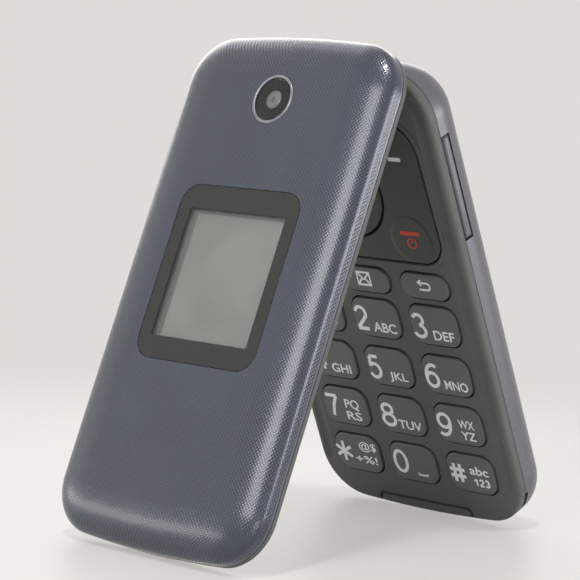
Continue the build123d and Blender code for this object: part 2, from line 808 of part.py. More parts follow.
def lid_outer_cover():
    """Rounded outer shell with the openings for the outer window and the camera."""
    outer = lid_pillow(0, lid_edge_z)
    body = outer - lid_pillow(lid_wall, lid_edge_z)
    ox, oy, oz = outer_panel_size
    body += tablet(0, -window_centre, ox + 2 * frame_width, oy + 2 * frame_width,
                   outer_panel_z + oz / 2, lid_inside_z, 1.5)
    body -= tablet(0, -window_centre, ox + 2 * slip, oy + 2 * slip, outer_panel_z, lid_inside_z, 0.5)
    body -= tablet(0, -window_centre, window_width + 2 * window_gap, window_length + 2 * window_gap,
                   window_z, lid_top_z + 1, window_corner + window_gap)
    body -= tablet(0, -window_centre, aperture_width, aperture_length, lid_inside_z - 1, lid_top_z, 0.5)

    inner_radius = camera_ring_radius - camera_ring_width
    seat = lid_top_z + camera_ring_proud - camera_ring_height
    window_seat = lid_top_z - camera_window_sunk - camera_window_thick
    body -= post(0, -camera_at, lid_inside_z - 1, lid_top_z + 1, inner_radius - 0.5)
    body -= post(0, -camera_at, seat, lid_top_z + 1, camera_ring_radius + slip)
    body -= post(0, -camera_at, window_seat, lid_top_z + 1, inner_radius)

    for x, y in both_sides(lid_boss_sites):
        body += outer & post(x, y, floor_z + assembly_gap, lid_top_z, lid_boss_radius)
        body -= post(x, y, floor_z, floor_z + screw_length - 1.4, screw_radius)
    body -= barrel_room(barrel_radius + assembly_gap)
    body -= knuckle_room(barrel_sweep, knuckle_gap / 2)
    return body


def lid_inner_housing():
    """Inner face of the lid with the hinge barrel and the seat of the inner window."""
    body = slab(0, lid_overhang, lid_in_z, band_top)
    low_edge = body.faces().sort_by(Axis.Z)[0].edges()
    body = fillet(low_edge, lid_edge_round)
    inset = lid_wall + skirt_gap
    body += slab(inset, lid_overhang, band_top, floor_z)
    skirt = slab(inset, lid_overhang, floor_z, floor_z + 0.5)
    body += skirt - slab(inset + skirt_wall, lid_overhang, floor_z, floor_z + 1)
    for x, y in both_sides(lid_boss_sites):
        body -= post(x, y, floor_z, floor_z + 1, lid_boss_radius + assembly_gap)
    body += rod(-barrel_half, barrel_half, barrel_radius)

    glass_mid = -(glass_near + glass_far) / 2
    body -= tablet(0, glass_mid, glass_width + 2 * assembly_gap, glass_far - glass_near + 2 * assembly_gap,
                   lid_in_z - 1, ledge_z, glass_corner + assembly_gap)
    panel_mid = -(panel_near + panel_length / 2)
    body -= tablet(0, panel_mid, panel_width + 2 * assembly_gap, panel_length + 2 * assembly_gap,
                   ledge_z - 1, floor_z + 1, 0.5)
    for x, y in both_sides(lid_boss_sites):
        body -= post(x, y, lid_in_z - 1, lid_in_z + head_recess_depth, head_recess_radius)
        body -= post(x, y, lid_in_z, floor_z + 1, screw_radius + assembly_gap)

    body -= knuckle_room(barrel_sweep, knuckle_gap / 2)
    body -= rod(-barrel_half - 1, -barrel_half + cartridge_length + slip, cartridge_radius + slip)
    body -= rod(barrel_half - pin_reach - flex_room, barrel_half + 1, collar_radius + running_gap)

    ex, ey = ear_slot
    body -= extrude(Pos(0, -earpiece_at, lid_in_z - 1) * SlotOverall(ex, ey), amount=4, dir=(0, 0, 1))
    mx, my, mz = mesh_size
    body -= tablet(0, -earpiece_at, mx + 2 * slip, my + 2 * slip, floor_z - mz, floor_z + 1, 0.5)
    return body


def inner_display_window():
    return tablet(0, -(glass_near + glass_far) / 2, glass_width, glass_far - glass_near, glass_z, ledge_z,
                  glass_corner)


def inner_display_panel():
    return tablet(0, -(panel_near + panel_length / 2), panel_width, panel_length, panel_z,
                  panel_z + panel_thick, 0.4)


def lid_circuit_board():
    low, high = lid_board_z, lid_board_z + lid_board_thick
    mid = -(lid_board_near + lid_board_far) / 2
    body = tablet(0, mid, lid_board_width, lid_board_far - lid_board_near, low, high, 1.5)
    half = camera_body / 2 + 0.3
    return body - block((-half, half), (-camera_at - half, 0), (low - 1, high + 1))


def outer_display_panel():
    ox, oy, oz = outer_panel_size
    return tablet(0, -window_centre, ox, oy, outer_panel_z, outer_panel_z + oz, 0.4)


def outer_display_window():
    return tablet(0, -window_centre, window_width, window_length, window_z, window_z + window_thick,
                  window_corner)


def camera_ring():
    """Trim ring round the camera window."""
    high = lid_top_z + camera_ring_proud
    low = high - camera_ring_height
    ring = post(0, -camera_at, low, high, camera_ring_radius)
    ring -= post(0, -camera_at, low, high, camera_ring_radius - camera_ring_width + slip)
    return fillet(ring.faces().sort_by(Axis.Z)[-1].edges(), 0.2)


def camera_window():
    high = lid_top_z - camera_window_sunk
    radius = camera_ring_radius - camera_ring_width - slip
    return post(0, -camera_at, high - camera_window_thick, high, radius)


def camera_module():
    """Camera body with its lens barrel under the window."""
    top = lid_top_z - camera_window_sunk - camera_window_thick - slip
    half = camera_body / 2
    low_y = -camera_at - half
    body = block((-half, half), (low_y, low_y + camera_body), (floor_z, top - camera_lens_height))
    body = fillet(body.edges().filter_by(Axis.Z), 0.5)
    lens = post(0, -camera_at, top - camera_lens_height, top, camera_lens_radius)
    return body + lens - post(0, -camera_at, top - 0.4, top, camera_lens_radius / 2)


def earpiece():
    ex, ey, ez = earpiece_size
    return tablet(0, -earpiece_at, ex, ey, floor_z + slip, floor_z + slip + ez, 0.8)


def earpiece_mesh():
    mx, my, mz = mesh_size
    return tablet(0, -earpiece_at, mx, my, floor_z - mz, floor_z, 0.4)


def closing_magnet():
    gx, gy, gz = magnet_size
    return tablet(magnet_x, -magnet_at[1], gx, gy, floor_z, floor_z + gz, 0.3)


def lid_screws():
    head_z = lid_in_z + head_recess_depth
    return [screw(x, y, head_z, screw_length - 0.9) for x, y in both_sides(lid_boss_sites)]


def lid_bumpers():
    """Soft pads over the screws, which the lid closes on."""
    return [post(x, y, lid_in_z - bumper_proud, lid_in_z - bumper_proud + bumper_thick, bumper_radius)
            for x, y in both_sides(lid_boss_sites)]


def hinge_cartridge():
    """Spring and cam unit in the barrel, which turns on the shaft."""
    low = -barrel_half
    body = rod(low, low + cartridge_length, cartridge_radius)
    reach = shaft_reach - knuckle_gap + 0.3
    return body - rod(low - 1, low + reach, shaft_radius + running_gap)


# ================= the whole phone =================

base_parts = {
    "base_front_housing": base_front_housing(),
    "base_chassis": base_chassis(),
    "battery_cover": battery_cover(),
    "battery_pack": battery_pack(),
    "battery_contacts": battery_contacts(),
    "main_circuit_board": main_circuit_board(),
    "shield_cans": shield_cans(),
    "dome_sheet": dome_sheet(),
    "keypad_mat": keypad_mat(),
    "charging_socket": charging_socket(),
    "headphone_socket": headphone_socket(),
    "sim_socket": sim_socket(),
    "sim_card": sim_card(),
    "loudspeaker": loudspeaker(),
    "vibration_motor": vibration_motor(),
    "microphone": microphone(),
    "volume_rocker": volume_rocker(),
    "chassis_screws": chassis_screws(),
    "hinge_shaft": hinge_shaft(),
    "hinge_pin": hinge_pin(),
    "hinge_flex_cable": hinge_flex_cable(),
    "nav_plate": nav_plate(),
    "nav_pad": tilt_pad(nav_pad_inner, nav_pad_outer),
    "dial_ring": dial_ring(),
    "dial_pad": tilt_pad(pad_inner, pad_outer),
    "ok_key": ok_key(),
}
for key_name, (key_x, key_y) in key_sites().items():
    base_parts[key_name] = key_cap(key_x, key_y, key_width, key_height, key_corner)
for key_name, (key_x, key_y) in function_sites().items():
    base_parts[key_name] = key_cap(key_x, key_y, key_width, function_height, function_corner)

lid_parts = {
    "lid_outer_cover": lid_outer_cover(),
    "lid_inner_housing": lid_inner_housing(),
    "inner_display_window": inner_display_window(),
    "inner_display_panel": inner_display_panel(),
    "lid_circuit_board": lid_circuit_board(),
    "outer_display_panel": outer_display_panel(),
    "outer_display_window": outer_display_window(),
    "camera_ring": camera_ring(),
    "camera_window": camera_window(),
    "camera_module": camera_module(),
    "earpiece": earpiece(),
    "earpiece_mesh": earpiece_mesh(),
    "closing_magnet": closing_magnet(),
    "lid_screws": lid_screws(),
    "lid_bumpers": lid_bumpers(),
    "hinge_cartridge": hinge_cartridge(),
}


def as_shape(piece):
    """One shape for a node, whether it is one solid or a group of them."""
    return Compound(children=list(piece)) if isinstance(piece, list) else piece


def lean(half, tilt):
    """Turns a half from the closed frame to its lean from upright, in degrees."""
    return Rot(90 + tilt, 0, 0) * half


def level_base_tilt():
    """The base's lean at which both free ends stand at one height, by bisection."""
    low, high = rest_opening / 2, rest_opening / 2 + 6
    for _ in range(18):
        tilt = (low + high) / 2
        base_low = lean(base_parts["base_front_housing"], tilt).bounding_box().min.Z
        lid_low = lean(lid_parts["lid_inner_housing"], tilt - rest_opening).bounding_box().min.Z
        if base_low < lid_low:
            low = tilt
        else:
            high = tilt
    return (low + high) / 2


base_tilt = level_base_tilt()
lid_tilt = rest_opening - base_tilt
standing = {}
for name, piece in base_parts.items():
    standing[name] = lean(as_shape(piece), base_tilt)
for name, piece in lid_parts.items():
    standing[name] = lean(as_shape(piece), -lid_tilt)

front = standing["lid_outer_cover"].bounding_box().min.Y
rear = standing["battery_cover"].bounding_box().max.Y
floor = standing["base_front_housing"].bounding_box().min.Z
to_origin = Pos(0, -(front + rear) / 2, -floor)

for name, piece in standing.items():
    export_step(to_origin * piece, "parts/" + name + ".step")

print("base tilt", round(base_tilt, 4), "lid tilt", round(lid_tilt, 4))
print("hinge axis at y", round(-(front + rear) / 2, 4), "z", round(-floor, 4))
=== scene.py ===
import bpy
import json
import math
import numpy as np
from mathutils import Euler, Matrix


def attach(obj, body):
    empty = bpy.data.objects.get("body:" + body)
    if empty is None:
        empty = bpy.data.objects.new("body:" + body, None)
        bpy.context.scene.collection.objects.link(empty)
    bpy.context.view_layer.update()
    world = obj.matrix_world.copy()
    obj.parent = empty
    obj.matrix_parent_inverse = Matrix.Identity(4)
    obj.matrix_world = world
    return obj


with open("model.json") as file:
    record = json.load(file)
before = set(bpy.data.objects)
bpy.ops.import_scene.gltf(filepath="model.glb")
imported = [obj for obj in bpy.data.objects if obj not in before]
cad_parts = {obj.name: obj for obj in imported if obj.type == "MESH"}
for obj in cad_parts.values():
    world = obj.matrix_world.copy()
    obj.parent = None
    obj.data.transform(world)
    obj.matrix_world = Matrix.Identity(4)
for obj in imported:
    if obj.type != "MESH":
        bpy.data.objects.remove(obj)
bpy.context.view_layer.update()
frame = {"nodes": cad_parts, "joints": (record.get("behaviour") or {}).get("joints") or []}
joints = {joint["name"]: joint for joint in frame["joints"]}
print("frame loaded:", len(frame["nodes"]), "nodes")

# both halves have axes of their own, in mm: x right, y towards the hinge, z out of the keypad or the lid
mmPerMetre = 1000
hingeAt = np.array(joints["lid_hinge"]["pos_m"])
pressAxis = joints["battery_cover_removal"]["axis"]
baseLean = math.atan2(pressAxis[2], pressAxis[1])
lidLean = math.radians(-joints["lid_hinge"]["range_deg"][0]) - baseLean
halfTurn = {"base": math.pi / 2 + baseLean, "lid": math.pi / 2 - lidLean}
phoneValues = {
    "keyLevel": 2.75, "navLevel": 2.45, "dialLevel": 2.65,    # tops of the keys, above the hinge axis
    "lidLevel": 9.5, "lidEdgeLevel": 4.0,    # top and lower edge of the lid's cover
    "columns": (-15.5, 0.0, 15.5), "rows": (-55.05, -66.45, -77.85, -89.25), "functionRow": -46.2,
    "dialCentre": -26.7,
}


def placed(points, half):
    # turns a half's own points about the hinge, then mm to metres
    p = np.asarray(points, dtype=float).reshape(-1, 3) / mmPerMetre
    turn = halfTurn[half]
    y = p[:, 1] * math.cos(turn) - p[:, 2] * math.sin(turn)
    z = p[:, 1] * math.sin(turn) + p[:, 2] * math.cos(turn)
    return np.stack([p[:, 0], y, z], axis=1) + hingeAt


# ---- nodes for the paints ----
def startPaint(name):
    paint = bpy.data.materials.new(name)
    paint.use_nodes = True
    return paint, paint.node_tree.nodes["Principled BSDF"]


def addNode(paint, kind, settings=(), **inputs):
    # one shader node, with its inputs given by value or by another node's output
    item = paint.node_tree.nodes.new(kind)
    for key, value in dict(settings).items():
        setattr(item, key, value)
    for key, value in inputs.items():
        socket = item.inputs[int(key[1:])] if key[0] == "i" and key[1:].isdigit() else item.inputs[key]
        if isinstance(value, bpy.types.NodeSocket):
            paint.node_tree.links.new(value, socket)
        else:
            socket.default_value = value
    return item


def calc(paint, operation, first, second=0.0):
    return addNode(paint, "ShaderNodeMath", {"operation": operation}, i0=first, i1=second).outputs[0]


def remap(paint, value, low, high, toLow, toHigh, smooth=False):
    kind = {"interpolation_type": "SMOOTHSTEP" if smooth else "LINEAR"}
    item = addNode(paint, "ShaderNodeMapRange", kind, i0=value, i1=low, i2=high, i3=toLow, i4=toHigh)
    return item.outputs[0]


def blendColor(paint, factor, first, second):
    # a mix node takes its colours in sockets 6 and 7 and gives the result in output 2
    item = addNode(paint, "ShaderNodeMix", {"data_type": "RGBA"}, i0=factor)
    for place, value in ((6, first), (7, second)):
        if isinstance(value, bpy.types.NodeSocket):
            paint.node_tree.links.new(value, item.inputs[place])
        else:
            item.inputs[place].default_value = (*value, 1)
    return item.outputs[2]


def wire(paint, output, shader, socket):
    paint.node_tree.links.new(output, shader.inputs[socket])


def halfCoords(paint, half):
    # a half's own place in mm, whole and as x, y and z, from the object's coordinates
    where = addNode(paint, "ShaderNodeTexCoord").outputs["Object"]
    own = addNode(paint, "ShaderNodeMapping", {"vector_type": "TEXTURE"}, Vector=where)
    own.inputs["Location"].default_value = hingeAt
    own.inputs["Rotation"].default_value = (halfTurn[half], 0, 0)
    own.inputs["Scale"].default_value = (1 / mmPerMetre,) * 3
    split = addNode(paint, "ShaderNodeSeparateXYZ", Vector=own.outputs[0])
    return own.outputs[0], split.outputs[0], split.outputs[1], split.outputs[2]


def noise(paint, coords, sizeMm, detail=2.0, roughness=0.5, inMm=True):
    # cloudy pattern whose blobs are about sizeMm across, on coordinates in mm or in metres
    scale = 1 / sizeMm if inMm else mmPerMetre / sizeMm
    inputs = {"Vector": coords, "Scale": scale, "Detail": detail, "Roughness": roughness}
    return addNode(paint, "ShaderNodeTexNoise", **inputs).outputs[0]


def setLook(shader, values):
    sockets = {"roughness": "Roughness", "metallic": "Metallic", "coat": "Coat Weight", "ior": "IOR",
               "coatRoughness": "Coat Roughness", "specular": "Specular IOR Level"}
    for key, socket in sockets.items():
        if key in values:
            shader.inputs[socket].default_value = values[key]


def scaled(color, amount):
    return tuple(min(1.0, c * amount) for c in color)


# most of a noise pattern lies between these two values
noiseRange = (0.3, 0.7)


def drift(paint, pattern, toLow, toHigh, between=noiseRange):
    return remap(paint, pattern, *between, toLow, toHigh)


def mottle(paint, pattern, color, darker, lighter, between=noiseRange):
    # one colour that goes from darker to lighter as the pattern does
    tone = drift(paint, pattern, 0, 1, between)
    return blendColor(paint, tone, scaled(color, darker), scaled(color, lighter))


def roughen(paint, shader, pattern, v):
    # roughness that drifts with a pattern, so far below and above its plain value
    below, above = v["roughSpread"]
    wire(paint, drift(paint, pattern, v["roughness"] - below, v["roughness"] + above), shader, "Roughness")


def emboss(paint, shader, height, heightMm, socket="Normal"):
    bump = addNode(paint, "ShaderNodeBump", Strength=1.0, Distance=heightMm / mmPerMetre, Height=height)
    wire(paint, bump.outputs[0], shader, socket)


def wave(paint, value, pitch, operation="COSINE"):
    # repeats once in every pitch
    return calc(paint, operation, calc(paint, "MULTIPLY", value, 2 * math.pi / pitch))


def distance(paint, x, y):
    squares = [calc(paint, "MULTIPLY", value, value) for value in (x, y)]
    return calc(paint, "SQRT", calc(paint, "ADD", *squares))


mouldedValues = {"cloudSize": 14, "shade": 0.08, "fleck": 0.12, "fleckRange": (0.62, 0.74), "fleckLight": 1.8,
                 "roughSpread": (0.05, 0.05)}


def moulded(name, values):
    # satin plastic: soft clouds in the colour, fine spark-eroded grain, and roughness that drifts a little
    v = {**mouldedValues, **values}
    paint, shader = startPaint(name)
    where = addNode(paint, "ShaderNodeTexCoord").outputs["Object"]
    clouds = noise(paint, where, v["cloudSize"], detail=3.0, roughness=0.55, inMm=False)
    grain = noise(paint, where, v["grainSize"], detail=2.0, roughness=0.6, inMm=False)
    base = mottle(paint, clouds, v["color"], 1 - v["shade"], 1 + v["shade"])
    fleck = drift(paint, grain, 0, v["fleck"], v["fleckRange"])
    base = blendColor(paint, fleck, base, scaled(v["color"], v["fleckLight"]))
    wire(paint, base, shader, "Base Color")
    setLook(shader, v)
    roughen(paint, shader, clouds, v)
    emboss(paint, shader, grain, v["grainHeight"])
    return paint


print("paint tools ready")

# ---- lid cover: dark indigo lacquer over a moulded lattice of fine dots ----
coverValues = {
    "color": (0.029, 0.037, 0.058), "dotColor": (0.093, 0.106, 0.139), "cloudSize": 18, "shade": 0.1,
    "roughness": 0.25, "roughSpread": (0.03, 0.04), "metallic": 0.2,
    "coatRoughness": 0.14, "coatOnDots": 1.0, "coatInValleys": 0.3,
    "dotPitch": 0.87, "dotRange": (-0.25, 0.85), "dotTint": 0.22, "dotHeight": 0.02, "coatHeight": 0.010,
    "edgeBand": 0.45, "edgeBlur": 0.06, "edgeColor": (0.10, 0.10, 0.13),
    "flakeSize": 0.12, "flakeRange": (0.6, 0.72), "flakeTint": 0.5, "flakeHeight": 0.15,
    "speckColor": (0.55, 0.55, 0.55), "speckSpacing": 7.5, "speckSize": 0.15, "speckShare": 0.5,
}


def lidCoverPaint(v):
    # dots stand where cos(x) cos(y) peaks; the lattice is centred and follows the drop of the sides
    paint, shader = startPaint("coverPaint")
    own, x, y, z = halfCoords(paint, "lid")
    drop = calc(paint, "SUBTRACT", phoneValues["lidLevel"], z)
    across = calc(paint, "ADD", calc(paint, "ABSOLUTE", x), drop)
    lattice = calc(paint, "MULTIPLY", wave(paint, across, v["dotPitch"]), wave(paint, y, v["dotPitch"]))
    dots = remap(paint, lattice, *v["dotRange"], 0, 1, smooth=True)
    bandTop = phoneValues["lidEdgeLevel"] + v["edgeBand"]
    band = remap(paint, z, bandTop - v["edgeBlur"], bandTop + v["edgeBlur"], 1, 0)
    dots = calc(paint, "MULTIPLY", dots, calc(paint, "SUBTRACT", 1.0, band))
    clouds = noise(paint, own, v["cloudSize"], detail=3.0)
    flakes = noise(paint, own, v["flakeSize"], detail=1.0)
    base = mottle(paint, clouds, v["color"], 1 - v["shade"], 1 + v["shade"])
    base = blendColor(paint, calc(paint, "MULTIPLY", dots, v["dotTint"]), base, v["dotColor"])
    base = blendColor(paint, drift(paint, flakes, 0, v["flakeTint"], v["flakeRange"]), base, v["dotColor"])
    base = blendColor(paint, band, base, v["edgeColor"])
    # specks of dust: small discs at the middles of some of the cells
    cells = addNode(paint, "ShaderNodeTexVoronoi", {"feature": "F1"}, Vector=own, Scale=1 / v["speckSpacing"])
    near = calc(paint, "LESS_THAN", cells.outputs["Distance"], v["speckSize"] / v["speckSpacing"])
    chosen = addNode(paint, "ShaderNodeSeparateColor", Color=cells.outputs["Color"]).outputs[0]
    speck = calc(paint, "MULTIPLY", near, calc(paint, "GREATER_THAN", chosen, 1 - v["speckShare"]))
    base = blendColor(paint, speck, base, v["speckColor"])
    wire(paint, base, shader, "Base Color")
    setLook(shader, v)
    roughen(paint, shader, clouds, v)
    wire(paint, remap(paint, dots, 0, 1, v["coatInValleys"], v["coatOnDots"]), shader, "Coat Weight")
    height = calc(paint, "ADD", dots, calc(paint, "MULTIPLY", flakes, v["flakeHeight"]))
    emboss(paint, shader, height, v["dotHeight"])
    emboss(paint, shader, height, v["coatHeight"], "Coat Normal")
    return paint


# ---- back cover: smooth lacquer with fine flakes ----
backValues = {
    "color": (0.108, 0.108, 0.125), "cloudSize": 22, "shade": 0.08,
    "roughness": 0.36, "roughSpread": (0.02, 0.03), "rubSize": 6, "metallic": 0.3, "coat": 0.2,
    "coatRoughness": 0.25,
    "flakeColor": (0.23, 0.23, 0.265), "flakeSize": 0.14, "flakeRange": (0.55, 0.72), "flakeTint": 0.6,
    "flakeHeight": 0.004,
}


def backCoverPaint(v):
    # a plain colour with small bright flakes where a fine noise peaks
    paint, shader = startPaint("backPaint")
    own = halfCoords(paint, "base")[0]
    clouds = noise(paint, own, v["cloudSize"], detail=3.0)
    flakes = noise(paint, own, v["flakeSize"], detail=1.0)
    base = mottle(paint, clouds, v["color"], 1 - v["shade"], 1 + v["shade"])
    base = blendColor(paint, drift(paint, flakes, 0, v["flakeTint"], v["flakeRange"]), base, v["flakeColor"])
    wire(paint, base, shader, "Base Color")
    setLook(shader, v)
    roughen(paint, shader, noise(paint, own, v["rubSize"], detail=4.0), v)
    emboss(paint, shader, flakes, v["flakeHeight"])
    return paint


# ---- navigation plate: darker, smoother plastic with two faint round pads ----
navValues = {
    "color": (0.042, 0.047, 0.043), "cloudSize": 12, "shade": 0.1,
    "roughness": 0.4, "roughSpread": (0.04, 0.05), "specular": 0.45, "grainSize": 0.22, "grainHeight": 0.012,
    "padX": 15.0, "padY": -35.9, "padRadius": 5.0, "padSlope": 0.5, "padRise": 0.12,
}


def navPaint(v):
    # each pad is a low step in height where the distance from its centre passes its radius
    paint, shader = startPaint("navPlastic")
    own, x, y = halfCoords(paint, "base")[:3]
    clouds = noise(paint, own, v["cloudSize"], detail=3.0)
    grain = noise(paint, own, v["grainSize"], detail=2.0)
    wire(paint, mottle(paint, clouds, v["color"], 1 - v["shade"], 1 + v["shade"]), shader, "Base Color")
    setLook(shader, v)
    roughen(paint, shader, clouds, v)
    sideways = calc(paint, "SUBTRACT", calc(paint, "ABSOLUTE", x), v["padX"])
    away = distance(paint, sideways, calc(paint, "SUBTRACT", y, v["padY"]))
    rim = (v["padRadius"] - v["padSlope"], v["padRadius"] + v["padSlope"])
    pad = remap(paint, away, *rim, v["padRise"], 0, smooth=True)
    height = calc(paint, "ADD", pad, calc(paint, "MULTIPLY", grain, v["grainHeight"]))
    emboss(paint, shader, height, 1.0)    # this height is in mm already
    return paint


# ---- windows: clear plastic that lets the lamps through ----
def clearPaint(name, v):
    paint, shader = startPaint(name)
    setLook(shader, v)
    shader.inputs["Base Color"].default_value = (*v["color"], 1)
    shader.inputs["Transmission Weight"].default_value = 1.0
    where = addNode(paint, "ShaderNodeTexCoord").outputs["Object"]
    smears = noise(paint, where, v["smearSize"], detail=4.0, inMm=False)
    rough = drift(paint, smears, v["roughness"], v["roughness"] + v["smear"], v["smearRange"])
    wire(paint, rough, shader, "Roughness")
    seeThrough = addNode(paint, "ShaderNodeBsdfTransparent", Color=(*v["color"], 1))
    shadowRay = addNode(paint, "ShaderNodeLightPath").outputs["Is Shadow Ray"]
    both = addNode(paint, "ShaderNodeMixShader", i0=shadowRay, i1=shader.outputs[0], i2=seeThrough.outputs[0])
    wire(paint, both.outputs[0], paint.node_tree.nodes["Material Output"], "Surface")
    return paint


# ---- display modules: pale grey glass, faintly uneven, with a darker strip beside the picture area ----
displayValues = {
    "outer": {"color": (0.119, 0.123, 0.114), "strip": (0.051, 0.053, 0.048), "roughness": 0.22,
              "picture": (-10.95, 13.2, -61.2, -35.4)},    # left, right, near and far edge
    "inner": {"color": (0.032, 0.034, 0.033), "strip": (0.012, 0.012, 0.012), "roughness": 0.2,
              "picture": (-21.3, 21.3, -88.2, -31.2)},
}
hazeValues = {"hazeSize": 13, "hazeRange": (0.35, 0.65), "darker": 0.85, "lighter": 1.12,
              "roughSpread": (0.0, 0.04), "edgeBlur": 0.03}


def displayPaint(name):
    # the strip is everything that lies outside the four edges of the picture area
    v = {**hazeValues, **displayValues[name]}
    paint, shader = startPaint(name + "DisplayGlass")
    left, right, near, far = v["picture"]
    own, x, y = halfCoords(paint, "lid")[:3]
    haze = noise(paint, own, v["hazeSize"], detail=2.0)
    base = mottle(paint, haze, v["color"], v["darker"], v["lighter"], v["hazeRange"])
    beyondX = calc(paint, "MAXIMUM", calc(paint, "SUBTRACT", left, x), calc(paint, "SUBTRACT", x, right))
    beyondY = calc(paint, "MAXIMUM", calc(paint, "SUBTRACT", near, y), calc(paint, "SUBTRACT", y, far))
    beyond = calc(paint, "MAXIMUM", beyondX, beyondY)
    base = blendColor(paint, remap(paint, beyond, -v["edgeBlur"], v["edgeBlur"], 0, 1), base, v["strip"])
    wire(paint, base, shader, "Base Color")
    setLook(shader, v)
    roughen(paint, shader, haze, v)
    return paint


# ---- metals: brushed or pressed, with dull patches ----
metalValues = {"stretch": (1, 1, 1), "lineHeight": 0.003, "patchSize": 5, "patchRange": (0.35, 0.65),
               "darker": 0.85, "lighter": 1.05, "roughSpread": (0.07, 0.1)}


def metalPaint(name, values):
    v = {**metalValues, **values}
    paint, shader = startPaint(name)
    where = addNode(paint, "ShaderNodeTexCoord").outputs["Object"]
    long = addNode(paint, "ShaderNodeMapping", Vector=where)
    long.inputs["Scale"].default_value = v["stretch"]
    lines = noise(paint, long.outputs[0], v["lineSize"], detail=3.0, inMm=False)
    patches = noise(paint, where, v["patchSize"], detail=2.0, inMm=False)
    base = mottle(paint, patches, v["color"], v["darker"], v["lighter"], v["patchRange"])
    wire(paint, base, shader, "Base Color")
    setLook(shader, v)
    roughen(paint, shader, lines, v)
    emboss(paint, shader, lines, v["lineHeight"])
    return paint


# ---- circuit boards: green mask over copper tracks that run both ways ----
boardValues = {
    "color": (0.012, 0.085, 0.04), "trackColor": (0.03, 0.16, 0.075), "roughness": 0.35,
    "trackPitch": 1.1, "trackRange": (0.35, 0.55), "trackHeight": 0.03, "blockSize": 9, "blockFrom": 0.5,
    "padColor": (0.55, 0.42, 0.18), "padFrom": 0.93, "padPatchSize": 4, "padPatchFrom": 0.58,
}


def boardPaint(v, name, half):
    # tracks are stripes of a wave in x or in y, by blocks; pads are small dots on a grid, in patches
    paint, shader = startPaint(name)
    own, x, y = halfCoords(paint, half)[:3]
    stripesX = wave(paint, x, v["trackPitch"], "SINE")
    stripesY = wave(paint, y, v["trackPitch"], "SINE")
    blocks = calc(paint, "GREATER_THAN", noise(paint, own, v["blockSize"], detail=0.0), v["blockFrom"])
    picked = addNode(paint, "ShaderNodeMix", {"data_type": "FLOAT"}, i0=blocks, i2=stripesX, i3=stripesY)
    track = drift(paint, picked.outputs[0], 0, 1, v["trackRange"])
    dots = calc(paint, "GREATER_THAN", calc(paint, "MULTIPLY", stripesX, stripesY), v["padFrom"])
    patches = calc(paint, "GREATER_THAN", noise(paint, own, v["padPatchSize"], detail=0.0), v["padPatchFrom"])
    base = blendColor(paint, track, v["color"], v["trackColor"])
    base = blendColor(paint, calc(paint, "MULTIPLY", dots, patches), base, v["padColor"])
    wire(paint, base, shader, "Base Color")
    setLook(shader, v)
    emboss(paint, shader, track, v["trackHeight"])
    return paint


# ---- battery: dark wrap with a paler label panel ----
batteryValues = {
    "wrapColor": (0.03, 0.03, 0.034), "labelColor": (0.33, 0.33, 0.34), "stripeColor": (0.06, 0.12, 0.3),
    "labelHalfX": 16.5, "labelMidY": -64.0, "labelHalfY": 23.0, "stripeFrom": 0.62,
    "roughness": 0.42, "roughSpread": (0.08, 0.1),
    "creaseSize": 5, "creaseRange": (0.55, 0.8), "creaseTint": 0.25, "creaseShade": 0.5, "creaseHeight": 0.05,
}


def batteryPaint(v):
    # the label is where both distances from its middle are under its half sizes
    paint, shader = startPaint("batteryWrap")
    own, x, y = halfCoords(paint, "base")[:3]
    inX = calc(paint, "LESS_THAN", calc(paint, "ABSOLUTE", x), v["labelHalfX"])
    fromMiddle = calc(paint, "ABSOLUTE", calc(paint, "SUBTRACT", y, v["labelMidY"]))
    inY = calc(paint, "LESS_THAN", fromMiddle, v["labelHalfY"])
    label = calc(paint, "MULTIPLY", inX, inY)
    stripeStart = v["labelMidY"] + v["labelHalfY"] * v["stripeFrom"]
    stripe = calc(paint, "MULTIPLY", label, calc(paint, "GREATER_THAN", y, stripeStart))
    creases = noise(paint, own, v["creaseSize"], detail=4.0)
    worn = drift(paint, creases, 0, v["creaseTint"], v["creaseRange"])
    base = blendColor(paint, label, v["wrapColor"], v["labelColor"])
    base = blendColor(paint, stripe, base, v["stripeColor"])
    base = blendColor(paint, worn, base, scaled(v["labelColor"], v["creaseShade"]))
    wire(paint, base, shader, "Base Color")
    setLook(shader, v)
    roughen(paint, shader, creases, v)
    emboss(paint, shader, creases, v["creaseHeight"])
    return paint


# ---- mesh over the earpiece: steel with rows of punched dots ----
meshValues = {"steelColor": (0.35, 0.35, 0.36), "holeColor": (0.01, 0.01, 0.01), "steelMetallic": 0.9,
              "roughness": 0.35, "holePitch": 0.4488, "holeRange": (0.2, 0.5)}


def punchedPaint(v):
    paint, shader = startPaint("punchedSteel")
    x, y = halfCoords(paint, "lid")[1:3]
    lattice = calc(paint, "MULTIPLY", wave(paint, x, v["holePitch"]), wave(paint, y, v["holePitch"]))
    hole = drift(paint, lattice, 0, 1, v["holeRange"])
    wire(paint, blendColor(paint, hole, v["steelColor"], v["holeColor"]), shader, "Base Color")
    wire(paint, remap(paint, hole, 0, 1, v["steelMetallic"], 0), shader, "Metallic")
    setLook(shader, v)
    return paint


